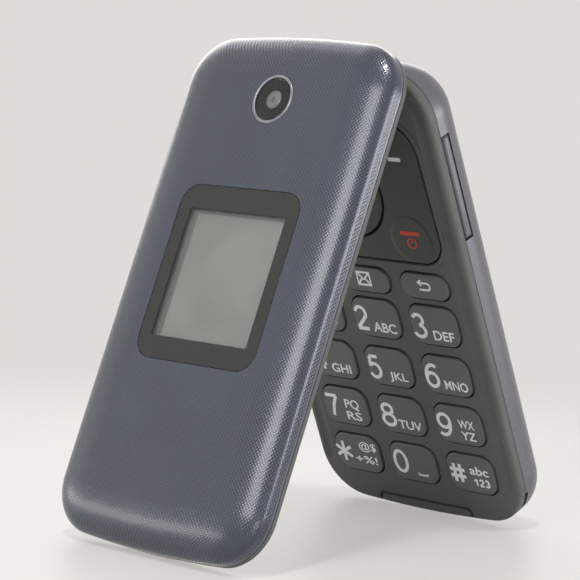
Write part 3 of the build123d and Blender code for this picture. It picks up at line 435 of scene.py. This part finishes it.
housingValues = {"color": (0.104, 0.110, 0.104), "roughness": 0.5, "specular": 0.25, "grainSize": 0.3,
                 "grainHeight": 0.012}
keyValues = {"color": (0.108, 0.115, 0.109), "roughness": 0.42, "grainSize": 0.2, "grainHeight": 0.005,
             "fleck": 0.05}
rockerValues = {"color": (0.094, 0.094, 0.110), "roughness": 0.42, "coat": 0.15, "grainSize": 0.18,
                "grainHeight": 0.004}
chassisValues = {"color": (0.03, 0.03, 0.033), "roughness": 0.55, "grainSize": 0.4, "grainHeight": 0.02}
blackValues = {"color": (0.012, 0.012, 0.013), "roughness": 0.45, "grainSize": 0.25, "grainHeight": 0.008}
rubberValues = {"color": (0.022, 0.022, 0.023), "roughness": 0.75, "grainSize": 0.35, "grainHeight": 0.01}
cardValues = {"color": (0.72, 0.72, 0.7), "roughness": 0.4, "grainSize": 0.6, "grainHeight": 0.004,
              "fleck": 0.0}
filmValues = {"color": (0.6, 0.6, 0.57), "roughness": 0.3, "grainSize": 1.0, "grainHeight": 0.01,
              "fleck": 0.0}
amberValues = {"color": (0.42, 0.17, 0.03), "roughness": 0.3, "coat": 0.3, "grainSize": 0.8,
               "grainHeight": 0.006}
windowValues = {"color": (0.93, 0.94, 0.93), "roughness": 0.012, "ior": 1.38, "smear": 0.004,
                "smearSize": 7, "smearRange": (0.4, 0.75)}
lensValues = {"color": (0.8, 0.8, 0.84), "roughness": 0.0, "ior": 1.34, "smear": 0.01, "smearSize": 7,
              "smearRange": (0.4, 0.75)}
ringValues = {"color": (0.30, 0.31, 0.34), "roughness": 0.3, "metallic": 0.85, "lineSize": 0.3,
              "lineHeight": 0.002}
steelValues = {"color": (0.62, 0.62, 0.61), "roughness": 0.33, "metallic": 1.0, "lineSize": 0.35,
               "stretch": (0.15, 1, 1)}
goldValues = {"color": (0.85, 0.62, 0.22), "roughness": 0.28, "metallic": 1.0, "lineSize": 0.4}

housingPlastic = moulded("housingPlastic", housingValues)
keyPlastic = moulded("keyPlastic", keyValues)
rockerPlastic = moulded("rockerPlastic", rockerValues)
chassisPlastic = moulded("chassisPlastic", chassisValues)
blackPlastic = moulded("blackPlastic", blackValues)
softRubber = moulded("softRubber", rubberValues)
cardPlastic = moulded("cardPlastic", cardValues)
domeFilm = moulded("domeFilm", filmValues)
amberFilm = moulded("amberFilm", amberValues)
navPlastic = navPaint(navValues)
windowClear = clearPaint("windowClear", windowValues)
lensClear = clearPaint("lensClear", lensValues)
ringMetal = metalPaint("ringMetal", ringValues)
steelMetal = metalPaint("steelMetal", steelValues)
goldMetal = metalPaint("goldMetal", goldValues)

nodePaints = {
    "lid_outer_cover": lidCoverPaint(coverValues), "battery_cover": backCoverPaint(backValues),
    "volume_rocker": rockerPlastic,
    "base_front_housing": housingPlastic, "lid_inner_housing": housingPlastic, "base_chassis": chassisPlastic,
    "inner_display_window": windowClear, "outer_display_window": windowClear, "camera_window": lensClear,
    "inner_display_panel": displayPaint("inner"),
    "main_circuit_board": boardPaint(boardValues, "mainBoard", "base"),
    "lid_circuit_board": boardPaint(boardValues, "lidBoard", "lid"), "camera_ring": ringMetal,
    "camera_module": blackPlastic, "earpiece": blackPlastic, "loudspeaker": blackPlastic,
    "headphone_socket": blackPlastic, "earpiece_mesh": punchedPaint(meshValues), "sim_card": cardPlastic,
    "battery_pack": batteryPaint(batteryValues), "battery_contacts": goldMetal, "dome_sheet": domeFilm,
    "hinge_flex_cable": amberFilm, "keypad_mat": softRubber, "lid_bumpers": softRubber,
    "dial_pad": softRubber, "nav_pad": softRubber, "nav_plate": navPlastic, "dial_ring": navPlastic,
    "ok_key": navPlastic, "outer_display_panel": displayPaint("outer"),
}
for name, item in frame["nodes"].items():
    paint = nodePaints.get(name, keyPlastic if name.startswith("key_") else steelMetal)
    item.data.materials.clear()
    item.data.materials.append(paint)
print("paints on", len(frame["nodes"]), "nodes")


# ---- new pieces ----
def addPiece(name, points, faces, half, body, paint, sharp=35):
    # points in a half's own mm; faces are turned so that the enclosed volume is positive
    where = placed(points, half)
    fans = np.array([(f[0], f[k], f[k + 1]) for f in faces for k in range(1, len(f) - 1)])
    a, b, c = where[fans[:, 0]], where[fans[:, 1]], where[fans[:, 2]]
    if np.einsum("ij,ij->i", a - hingeAt, np.cross(b - hingeAt, c - hingeAt)).sum() < 0:
        faces = [tuple(reversed(f)) for f in faces]
    mesh = bpy.data.meshes.new(name)
    mesh.from_pydata(where.tolist(), [], faces)
    mesh.shade_smooth()
    mesh.set_sharp_from_angle(angle=math.radians(sharp))
    mesh.materials.append(paint)
    piece = bpy.data.objects.new(name, mesh)
    bpy.context.scene.collection.objects.link(piece)
    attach(piece, body)


def gridFaces(count, around, closeAlong, caps):
    # quads between neighbouring rings, each closed on itself; the last joins the first, or both get caps
    i, j = np.meshgrid(np.arange(count if closeAlong else count - 1), np.arange(around), indexing="ij")
    here, nextRing = i * around, ((i + 1) % count) * around
    nextPoint = (j + 1) % around
    quads = np.stack([here + j, here + nextPoint, nextRing + nextPoint, nextRing + j], axis=-1).reshape(-1, 4)
    faces = [tuple(q) for q in quads.tolist()]
    if caps:
        faces.append(tuple(range(around - 1, -1, -1)))
        faces.append(tuple(range((count - 1) * around, count * around)))
    return faces


def roundedLoop(halfX, halfY, radius, count):
    # a rounded rectangle: quarter circles at the corners, points spread by angle
    angle = (np.arange(count) + 0.5) / count * 2 * math.pi
    cx = np.sign(np.cos(angle)) * (halfX - radius)
    cy = np.sign(np.sin(angle)) * (halfY - radius)
    return np.stack([cx + radius * np.cos(angle), cy + radius * np.sin(angle)], axis=1)


def frameRing(outer, inner, low, high):
    # a flat frame between two loops: at each point of the loop the section is a rectangle
    rings = np.zeros((len(outer), 4, 3))
    for k, (loop, level) in enumerate(((outer, low), (inner, low), (inner, high), (outer, high))):
        rings[:, k, :2] = loop
        rings[:, k, 2] = level
    return rings.reshape(-1, 3), gridFaces(len(outer), 4, True, False)


# printed borders under the windows, a little below their outer faces
borderValues = {
    "color": (0.017, 0.0185, 0.0165), "roughness": 0.1, "roughSpread": (0.02, 0.02), "fleck": 0.0,
    "grainSize": 0.3, "grainHeight": 0.0001, "loopPoints": 96, "viewRadius": 0.45,
    "outerHalf": (15.8, 17.65), "outerMiddle": -47.5, "outerRadius": 4.1, "outerLevel": (9.40, 9.465),
    "outerViewHalf": (12.85, 13.05), "outerViewMiddle": -47.65,
    "innerHalf": (23.5, 43.3), "innerMiddle": -52.0, "innerRadius": 7.8, "innerLevel": (3.185, 3.25),
    "innerViewHalf": (21.7, 29.0), "innerViewMiddle": -59.7,
}
borderPaint = moulded("printedBorder", borderValues)


def windowBorder(v, name, side):
    outer = roundedLoop(*v[side + "Half"], v[side + "Radius"], v["loopPoints"]) + (0, v[side + "Middle"])
    view = roundedLoop(*v[side + "ViewHalf"], v["viewRadius"], v["loopPoints"]) + (0, v[side + "ViewMiddle"])
    points, faces = frameRing(outer, view, *v[side + "Level"])
    addPiece(name, points, faces, "lid", "lid", borderPaint)


windowBorder(borderValues, "outer_window_border", "outer")
windowBorder(borderValues, "inner_window_border", "inner")


def turned(profile, centre, count, ring=False):
    # (radius, level) pairs turned about an upright axis: the ends are capped, or joined to make a ring
    profile = np.asarray(profile, dtype=float)
    angle = np.arange(count) / count * 2 * math.pi
    rings = np.zeros((len(profile), count, 3))
    rings[:, :, 0] = centre[0] + profile[:, :1] * np.cos(angle)
    rings[:, :, 1] = centre[1] + profile[:, :1] * np.sin(angle)
    rings[:, :, 2] = profile[:, 1:]
    return rings.reshape(-1, 3), gridFaces(len(profile), count, ring, not ring)


# camera: stepped black baffle and a domed lens, inside the window
cameraValues = {
    "centre": (0, -11.3), "top": 9.32, "seat": 8.98,
    "baffleOuter": 4.1, "baffleInner": 1.95, "baffleFoot": 0.2,
    "baffleSteps": ((3.7, 0.0), (3.5, 0.1), (2.9, 0.12), (2.8, 0.2), (2.3, 0.22)),    # radius, depth
    "baffleSides": 72, "lensSides": 48, "lensRings": 16, "lensTip": 0.03,
    "lensRadius": 1.9, "lensRise": 0.35, "lensFoot": (0.98, 0.15), "irisRadius": 0.45, "irisBlur": 0.35,
    # the paler colour round the pupil is a painted reflection in the lens
    "lensColor": (0.06, 0.06, 0.065), "paintedReflectionColor": (0.13, 0.135, 0.13),
    "roughness": 0.06, "coat": 1.0, "coatRoughness": 0.02,
}
baffleValues = {"color": (0.009, 0.0095, 0.009), "roughness": 0.6, "specular": 0.15, "grainSize": 0.3,
                "grainHeight": 0.003}


def cameraPaint(v):
    # the lens is a dark pupil inside a paler ring, by distance from its centre; the paler ring is a painted
    # reflection
    paint, shader = startPaint("lensDome")
    x, y = halfCoords(paint, "lid")[1:3]
    away = distance(paint, x, calc(paint, "SUBTRACT", y, v["centre"][1]))
    rim = remap(paint, away, v["irisRadius"], v["irisRadius"] + v["irisBlur"], 0, 1, smooth=True)
    wire(paint, blendColor(paint, rim, v["lensColor"], v["paintedReflectionColor"]), shader, "Base Color")
    setLook(shader, v)
    return paint


def cameraPieces(v):
    foot = v["seat"] - v["baffleFoot"]
    steps = [(v["baffleOuter"], foot), (v["baffleOuter"], v["top"])]
    steps += [(radius, v["top"] - depth) for radius, depth in v["baffleSteps"]]
    steps += [(v["baffleInner"], v["seat"]), (v["baffleInner"], foot)]
    points, faces = turned(steps, v["centre"], v["baffleSides"], ring=True)
    bafflePaint = moulded("bafflePlastic", baffleValues)
    addPiece("camera_baffle", points, faces, "lid", "lid", bafflePaint)
    slope = np.linspace(math.pi / 2, v["lensTip"], v["lensRings"])
    dome = np.stack([v["lensRadius"] * np.sin(slope), v["seat"] + v["lensRise"] * np.cos(slope)], axis=1)
    share, depth = v["lensFoot"]
    dome = np.concatenate([[(v["lensRadius"] * share, v["seat"] - depth)], dome])
    points, faces = turned(dome, v["centre"], v["lensSides"])
    addPiece("camera_lens", points, faces, "lid", "lid", cameraPaint(v))


cameraPieces(cameraValues)


# headphone socket: a black collar between the hole in the back cover and the socket, round the plug's axis
collarValues = {"axis": (-17.0, -3.7), "bore": 1.85, "sleeve": 2.4, "flange": 2.85, "seat": -23.52,
                "front": -25.78, "flangeThick": 0.4, "sides": 48}


def socketCollar(v):
    shoulder = v["front"] + v["flangeThick"]
    steps = [(v["bore"], v["seat"]), (v["bore"], v["front"]), (v["flange"], v["front"])]
    steps += [(v["flange"], shoulder), (v["sleeve"], shoulder), (v["sleeve"], v["seat"])]
    points, faces = turned(steps, (0, 0), v["sides"], ring=True)
    points = np.stack([points[:, 2], points[:, 0] + v["axis"][0], points[:, 1] + v["axis"][1]], axis=1)
    addPiece("socket_collar", points, faces, "base", "base", blackPlastic)


socketCollar(collarValues)
print("window borders, camera and socket collar made")

# ---- legends on the keys ----
inkValues = {
    "thick": 0.018, "sink": 0.006, "fontWeight": 0.017, "fontSteps": 4,
    "numeralWidth": 0.80, "letterWidth": 0.40, "digitGap": 0.3, "strokeLift": 0.0012,
    "arcPoints": 36, "loopEnd": 350,    # a loop stops a little short and closes itself, and so does a circle
    "circlePoints": 24, "circleEnd": 345,
}
inkColors = {"white": (0.86, 0.86, 0.83), "red": (0.62, 0.045, 0.03), "green": (0.05, 0.38, 0.10)}
inkLook = {"roughness": 0.5, "grainSize": 0.25, "grainHeight": 0.003, "shade": 0.05, "fleck": 0.0}
inks = {name: moulded(name + "Ink", {**inkLook, "color": color}) for name, color in inkColors.items()}


def glyphs(text, box, centre, level):
    # a font's outline made into a thin solid, and fitted to a box (left, right, bottom, top) about a centre
    curve = bpy.data.curves.new("words", "FONT")
    curve.body = text
    curve.offset = inkValues["fontWeight"]
    curve.extrude = 0.5    # any depth will do: it is fitted too
    curve.resolution_u = inkValues["fontSteps"]
    holder = bpy.data.objects.new("words", curve)
    bpy.context.scene.collection.objects.link(holder)
    solid = bpy.data.meshes.new_from_object(holder.evaluated_get(bpy.context.evaluated_depsgraph_get()))
    co = np.zeros(len(solid.vertices) * 3)
    solid.vertices.foreach_get("co", co)
    co = co.reshape(-1, 3)
    faces = [tuple(face.vertices) for face in solid.polygons]
    bpy.data.objects.remove(holder)
    bpy.data.curves.remove(curve)
    bpy.data.meshes.remove(solid)
    low, high = co.min(axis=0), co.max(axis=0)
    unit = (co - low) / (high - low)
    points = np.zeros_like(co)
    points[:, 0] = centre[0] + box[0] + unit[:, 0] * (box[1] - box[0])
    points[:, 1] = centre[1] + box[2] + unit[:, 1] * (box[3] - box[2])
    points[:, 2] = level - inkValues["sink"] + unit[:, 2] * inkValues["thick"]
    return points, faces


def stroke(path, width, centre, level, closed=False):
    # a flat bar carried along a path: at each point the section is a rectangle square to the path
    p = np.asarray(path, dtype=float) + centre
    if closed:
        ahead = np.roll(p, -1, axis=0) - np.roll(p, 1, axis=0)
    else:
        ahead = np.gradient(p, axis=0)
    ahead /= np.linalg.norm(ahead, axis=1, keepdims=True)
    side = np.stack([-ahead[:, 1], ahead[:, 0]], axis=1) * width / 2
    low = level - inkValues["sink"]
    high = low + inkValues["thick"]
    rings = np.zeros((len(p), 4, 3))
    for k, (sign, z) in enumerate(((1, low), (-1, low), (-1, high), (1, high))):
        rings[:, k, :2] = p + sign * side
        rings[:, k, 2] = z
    return rings.reshape(-1, 3), gridFaces(len(p), 4, closed, not closed)


def arc(middle, radius, start, end, count):
    angle = np.radians(np.linspace(start, end, count))
    return np.stack([middle[0] + radius * np.cos(angle), middle[1] + radius * np.sin(angle)], axis=1)


def joined(parts):
    # several solids in one mesh, their face numbers moved on
    points, faces, start = [], [], 0
    for p, f in parts:
        points.append(p)
        faces += [tuple(i + start for i in face) for face in f]
        start += len(p)
    return np.concatenate(points), faces


# numerals as strokes in a unit box: arcs are middle x, y, radius x, y, start and end angle, lines are points
numeralPaths = {
    "0": [("loop", 0.5, 0.5, 0.5, 0.5)],
    "1": [("line", (0.78, 0), (0.78, 1)), ("line", (0.72, 0.97), (0.12, 0.68))],
    "2": [("arc", 0.49, 0.71, 0.45, 0.29, 168, -38), ("line", (0.87, 0.56), (0.04, 0.03)),
          ("line", (0, 0), (1, 0))],
    "3": [("arc", 0.46, 0.76, 0.42, 0.24, 160, -85), ("arc", 0.46, 0.265, 0.5, 0.265, 88, -160)],
    "4": [("line", (0.74, 0), (0.74, 1)), ("line", (0.7, 0.98), (0.02, 0.29)),
          ("line", (0, 0.27), (1, 0.27))],
    "5": [("line", (0.9, 1), (0.2, 1)), ("line", (0.19, 1), (0.1, 0.52)),
          ("arc", 0.46, 0.325, 0.5, 0.325, 143, -155)],
    "6": [("loop", 0.5, 0.315, 0.5, 0.315), ("arc", 0.66, 0.42, 0.66, 0.58, 180, 58)],
    "7": [("line", (0, 1), (1, 1)), ("line", (0.98, 0.99), (0.62, 0.55), (0.42, 0))],
    "8": [("loop", 0.5, 0.77, 0.42, 0.23), ("loop", 0.5, 0.27, 0.5, 0.27)],
    "9": [("loop", 0.5, 0.685, 0.5, 0.315), ("arc", 0.34, 0.58, 0.66, 0.58, 0, -122)],
    "#": [("line", (0.3, 0), (0.3, 1)), ("line", (0.7, 0), (0.7, 1)), ("line", (0, 0.32), (1, 0.32)),
          ("line", (0, 0.68), (1, 0.68))],
}


def numeral(text, box, centre, level, width):
    # each stroke is fitted to the box less half a stroke's width, and lies a hair above the one before
    left, right, bottom, top = box
    count = len(text)
    pitch = (right - left + inkValues["digitGap"] * width) / count
    wide = pitch - (1 + inkValues["digitGap"]) * width if count > 1 else right - left - width
    solids = []
    for place, sign in enumerate(text):
        low = np.array((left + place * pitch + width / 2, bottom + width / 2))
        size = np.array((wide, top - bottom - width))
        for order, (kind, *numbers) in enumerate(numeralPaths[sign]):
            if kind == "line":
                path = np.array(numbers)
            else:
                first, last = (0, inkValues["loopEnd"]) if kind == "loop" else numbers[4:]
                path = arc((0, 0), 1, first, last, inkValues["arcPoints"]) * numbers[2:4] + numbers[:2]
            lifted = level + inkValues["strokeLift"] * order
            solids.append(stroke(low + path * size, width, centre, lifted, closed=kind == "loop"))
    return solids


# each text's box about the middle of its key: left, right, bottom, top
legendBoxes = {
    "key_1": [("1", -5.3, -3.0, -3.1, 2.65)],
    "key_2": [("2", -5.9, -2.1, -3.1, 2.65), ("ABC", -1.25, 5.0, -3.1, -0.85)],
    "key_3": [("3", -5.75, -2.0, -3.15, 2.65), ("DEF", -0.65, 4.75, -3.1, -0.95)],
    "key_4": [("4", -6.0, -1.9, -3.1, 2.65), ("GHI", -1.0, 4.4, -3.1, -0.95)],
    "key_5": [("5", -5.75, -2.05, -3.15, 2.55), ("JKL", -0.3, 4.6, -3.4, -0.95)],
    "key_6": [("6", -5.75, -2.05, -3.15, 2.6), ("MNO", -1.0, 5.05, -3.1, -0.95)],
    "key_7": [("7", -5.8, -1.9, -3.1, 2.6), ("PQ", -0.2, 3.8, -0.75, 1.8), ("RS", -0.3, 3.85, -3.15, -1.1)],
    "key_8": [("8", -5.65, -1.65, -3.1, 2.65), ("TUV", -1.25, 5.0, -3.1, -1.0)],
    "key_9": [("9", -5.75, -1.9, -3.1, 2.6), ("WX", -0.05, 4.05, -0.55, 1.45),
              ("YZ", 0.15, 3.9, -3.2, -1.25)],
    "key_star": [("@$", 0.6, 5.4, 0.5, 3.0), ("+%!", -1.2, 5.0, -2.3, -0.45)],
    "key_0": [("0", -5.55, -1.5, -2.85, 2.85)],
    "key_hash": [("#", -5.85, -1.15, -2.75, 2.35), ("abc", -0.2, 4.7, -0.05, 2.0),
                 ("123", 0.2, 4.6, -2.75, -0.85)],
}


def circle(middle, radius):
    return arc(middle, radius, 0, inkValues["circleEnd"], inkValues["circlePoints"])


def spoke(middle, reach, turn):
    tip = reach * np.array((math.cos(math.radians(turn)), math.sin(math.radians(turn))))
    return [middle - tip, middle + tip]


# each sign's strokes about the middle of its key: path, width, lift above the key, closed or not
signStrokes = {
    "key_1": [    # a reel-to-reel sign for messages
        (circle((0.3, -2.1), 0.75), 0.32, 0, True), (circle((3.3, -2.1), 0.75), 0.32, 0, True),
        ([(0.3, -2.95), (3.3, -2.95)], 0.32, 0, False)],
    "key_star": [    # three bars crossed
        (spoke((-4.1, -0.05), 2.4, 90), 0.75, 0.003, False),
        (spoke((-4.1, -0.05), 2.4, 30), 0.75, 0.001, False),
        (spoke((-4.1, -0.05), 2.4, 150), 0.75, 0.005, False)],
    "key_0": [    # a space sign
        ([(0.75, -2.1), (0.8, -2.6), (3.2, -2.6), (3.25, -2.1)], 0.42, 0, False)],
    "key_contacts": [    # a head and shoulders
        (circle((0, 0.75), 0.75), 0.4, 0, True),
        (np.concatenate([arc((0, -1.6), 1.6, 180, 0, 20), [(-1.6, -1.6)]]), 0.4, 0, True)],
    "key_message": [    # an envelope
        ([(-2.2, -1.15), (1.15, -1.15), (1.15, 1.65), (-2.2, 1.65)], 0.62, 0, True),
        ([(-2.2, 1.65), (-0.525, 0.05), (1.15, 1.65)], 0.46, 0.002, False),
        ([(-2.2, -1.15), (-1.025, 0.2)], 0.44, 0.004, False),
        ([(1.15, -1.15), (-0.025, 0.2)], 0.44, 0.004, False)],
    "key_back": [    # an arrow that turns back
        (np.concatenate([[(-1.45, 0.85)], arc((0.75, 0.1), 0.75, 90, -90, 14), [(-1.35, -0.65)]]),
         0.44, 0, False),
        ([(-0.65, 1.45), (-1.55, 0.85), (-0.65, 0.25)], 0.42, 0.002, False)],
}
numberKeys = ["key_1", "key_2", "key_3", "key_4", "key_5", "key_6", "key_7", "key_8", "key_9", "key_star",
              "key_0", "key_hash"]
functionKeys = ["key_contacts", "key_message", "key_back"]


def keyCentre(name):
    if name in numberKeys:
        row, column = divmod(numberKeys.index(name), len(phoneValues["columns"]))
        return np.array((phoneValues["columns"][column], phoneValues["rows"][row]))
    return np.array((phoneValues["columns"][functionKeys.index(name)], phoneValues["functionRow"]))


def keyLegends(name):
    centre, level = keyCentre(name), phoneValues["keyLevel"]
    solids = []
    for text, *box in legendBoxes.get(name, []):
        if text[0] in numeralPaths:
            width = inkValues["numeralWidth"] if len(text) == 1 else inkValues["letterWidth"]
            solids += numeral(text, box, centre, level, width)
        else:
            solids.append(glyphs(text, box, centre, level))
    for path, width, lift, closed in signStrokes.get(name, []):
        solids.append(stroke(path, width, centre, level + lift, closed))
    points, faces = joined(solids)
    addPiece("legend_" + name, points, faces, "base", name + "_cap", inks["white"])


for name in numberKeys + functionKeys:
    keyLegends(name)

markValues = {
    "softX": (14.1, 17.3), "softY": -18.5, "softHeight": 0.85,
    "endX": (12.4, 17.4), "endY": -34.6, "endHeight": 0.85,
    "powerAt": (14.95, -36.75), "powerRadius": 1.05, "powerFrom": 60, "powerTo": -240, "powerPoints": 28,
    "powerBarLift": 0.1, "strokeWidth": 0.32, "okBox": (-2.2, 2.2, -1.1, 1.1),
}


def navMarks(v):
    level = phoneValues["navLevel"]
    middle = np.zeros(2)

    def bar(left, right, y, height):
        return stroke([(left, y), (right, y)], height, middle, level)

    low, high = v["softX"]
    points, faces = joined([bar(s * low, s * high, v["softY"], v["softHeight"]) for s in (1, -1)])
    addPiece("nav_soft_marks", points, faces, "base", "nav", inks["white"])
    low, high = v["endX"]
    x, y = v["powerAt"]
    ring = arc(v["powerAt"], v["powerRadius"], v["powerFrom"], v["powerTo"], v["powerPoints"])
    upright = [(x, y + v["powerBarLift"]), (x, y + v["powerRadius"] + v["powerBarLift"])]
    power = [stroke(path, v["strokeWidth"], middle, level) for path in (ring, upright)]
    points, faces = joined([bar(low, high, v["endY"], v["endHeight"])] + power)
    addPiece("nav_end_mark", points, faces, "base", "nav", inks["red"])
    points, faces = bar(-high, -low, v["endY"], v["endHeight"])
    addPiece("nav_call_mark", points, faces, "base", "nav", inks["green"])
    points, faces = glyphs("OK", v["okBox"], (0, phoneValues["dialCentre"]), phoneValues["dialLevel"])
    addPiece("ok_legend", points, faces, "base", "ok_key_cap", inks["white"])


navMarks(markValues)
print("legends made")

# ---- floor and backdrop ----
stageValues = {
    "floorColor": (0.70, 0.685, 0.665), "farColor": (0.735, 0.715, 0.69), "worldColor": (0.93, 0.93, 0.95),
    "worldStrength": 0.38, "fadeFrom": 0.07, "fadeTo": 0.26, "leastGlowShare": 0.55, "reach": 8.0,
    "roughness": 0.42, "specular": 0.3,
}


def mainRays(paint):
    # 1 for what the camera sees straight on or in a mirror, 0 for the light that falls on things
    rays = addNode(paint, "ShaderNodeLightPath")
    return calc(paint, "MAXIMUM", rays.outputs["Is Camera Ray"], rays.outputs["Is Glossy Ray"])


def floorPaint(v):
    # shaded near the phone with a painted glow mixed in that lightens its shadow there, and the backdrop's
    # own colour far away, so that no horizon shows
    paint, shader = startPaint("floorPaint")
    shader.inputs["Base Color"].default_value = (*v["floorColor"], 1)
    setLook(shader, v)
    where = addNode(paint, "ShaderNodeTexCoord").outputs["Object"]
    split = addNode(paint, "ShaderNodeSeparateXYZ", Vector=where)
    away = distance(paint, split.outputs[0], split.outputs[1])
    # even near the phone the floor keeps this share of glow: painted light that lightens the phone's shadow
    far = remap(paint, away, v["fadeFrom"], v["fadeTo"], v["leastGlowShare"], 1, smooth=True)
    part = calc(paint, "MULTIPLY", far, mainRays(paint))
    glow = addNode(paint, "ShaderNodeEmission", Color=(*v["farColor"], 1), Strength=1.0)
    both = addNode(paint, "ShaderNodeMixShader", i0=part, i1=shader.outputs[0], i2=glow.outputs[0])
    wire(paint, both.outputs[0], paint.node_tree.nodes["Material Output"], "Surface")
    return paint


reach = stageValues["reach"]
corners = [(-reach, -reach, 0), (reach, -reach, 0), (reach, reach, 0), (-reach, reach, 0)]
floorMesh = bpy.data.meshes.new("floorMesh")
floorMesh.from_pydata(corners, [], [(0, 1, 2, 3)])
floor = bpy.data.objects.new("floor", floorMesh)
bpy.context.scene.collection.objects.link(floor)
floorMesh.materials.append(floorPaint(stageValues))

world = bpy.data.worlds.new("softRoom")
world.use_nodes = True
roomLight = world.node_tree.nodes["Background"]
roomLight.inputs["Color"].default_value = (*stageValues["worldColor"], 1)
roomLight.inputs["Strength"].default_value = stageValues["worldStrength"]
backdrop = addNode(world, "ShaderNodeBackground", Color=(*stageValues["farColor"], 1))
both = {"i1": roomLight.outputs[0], "i2": backdrop.outputs[0]}
pick = addNode(world, "ShaderNodeMixShader", i0=mainRays(world), **both)
wire(world, pick.outputs[0], world.node_tree.nodes["World Output"], "Surface")
bpy.context.scene.world = world

# ---- camera ----
viewValues = {"location": (0.338676, -0.366498, 0.098049), "turn": (84.2904, -2.2581, 43.5618),
              "lens": 156.8297, "sensor": 36, "nearest": 0.01}
cameraData = bpy.data.cameras.new("camera")
cameraData.lens = viewValues["lens"]
cameraData.sensor_width = viewValues["sensor"]
cameraData.clip_start = viewValues["nearest"]
camera = bpy.data.objects.new("camera", cameraData)
camera.location = viewValues["location"]
camera.rotation_euler = Euler([math.radians(v) for v in viewValues["turn"]], "XYZ")
bpy.context.scene.collection.objects.link(camera)
bpy.context.scene.camera = camera

# ---- lamps: a soft box in front, a wide one low on the right, small ones above and low, and pale panels ----
lampValues = {    # each is aimed at a height above the middle of the floor
    "front": {"at": (0.11, -0.95, 0.62), "aim": 0.05, "size": (0.50, 0.40), "power": 4.4,
              "color": (1.0, 0.99, 0.98)},
    "right": {"at": (0.83, 0.40, 0.13), "aim": 0.05, "size": (0.86, 0.26), "power": 4.6,
              "color": (0.98, 0.98, 1.0)},
    "above": {"at": (0.13, -0.24, 0.95), "aim": 0.05, "size": (0.10, 0.10), "power": 3.6,
              "color": (1.0, 1.0, 0.98)},
    "low": {"at": (0.52, -0.42, 0.05), "aim": 0.03, "size": (0.3, 0.08), "power": 0.5,
            "color": (1.0, 1.0, 0.99)},
    "wall": {"at": (-0.95, 0.70, 0.60), "aim": 0.05, "size": (1.2, 0.9), "power": 7.0,
             "color": (1.0, 0.99, 0.97)},
    "kick": {"at": (-0.48, -0.44, 0.035), "aim": 0.03, "size": (0.6, 0.07), "power": 0.55,
             "color": (1.0, 1.0, 0.98)},
    "sky": {"at": (-0.66, 0.24, 0.78), "aim": 0.05, "size": (0.7, 0.6), "power": 1.2,
            "color": (1.0, 1.0, 0.99)},
    "room": {"at": (-1.15, -1.02, 0.72), "aim": 0.05, "size": (1.7, 1.2), "power": 1.5,
             "color": (1.0, 1.0, 1.0)},
}
for name, v in lampValues.items():
    lampData = bpy.data.lights.new(name, "AREA")
    lampData.shape = "RECTANGLE"
    lampData.size, lampData.size_y = v["size"]
    lampData.energy = v["power"]
    lampData.color = v["color"]
    lamp = bpy.data.objects.new(name, lampData)
    lamp.location = v["at"]
    aim = np.array((0, 0, v["aim"])) - np.array(v["at"])
    down = math.acos(-aim[2] / np.linalg.norm(aim))
    lamp.rotation_euler = Euler((down, 0, math.atan2(-aim[0], aim[1])), "XYZ")
    bpy.context.scene.collection.objects.link(lamp)

bpy.context.scene.view_settings.view_transform = "Standard"
print("stage, camera and lamps made")
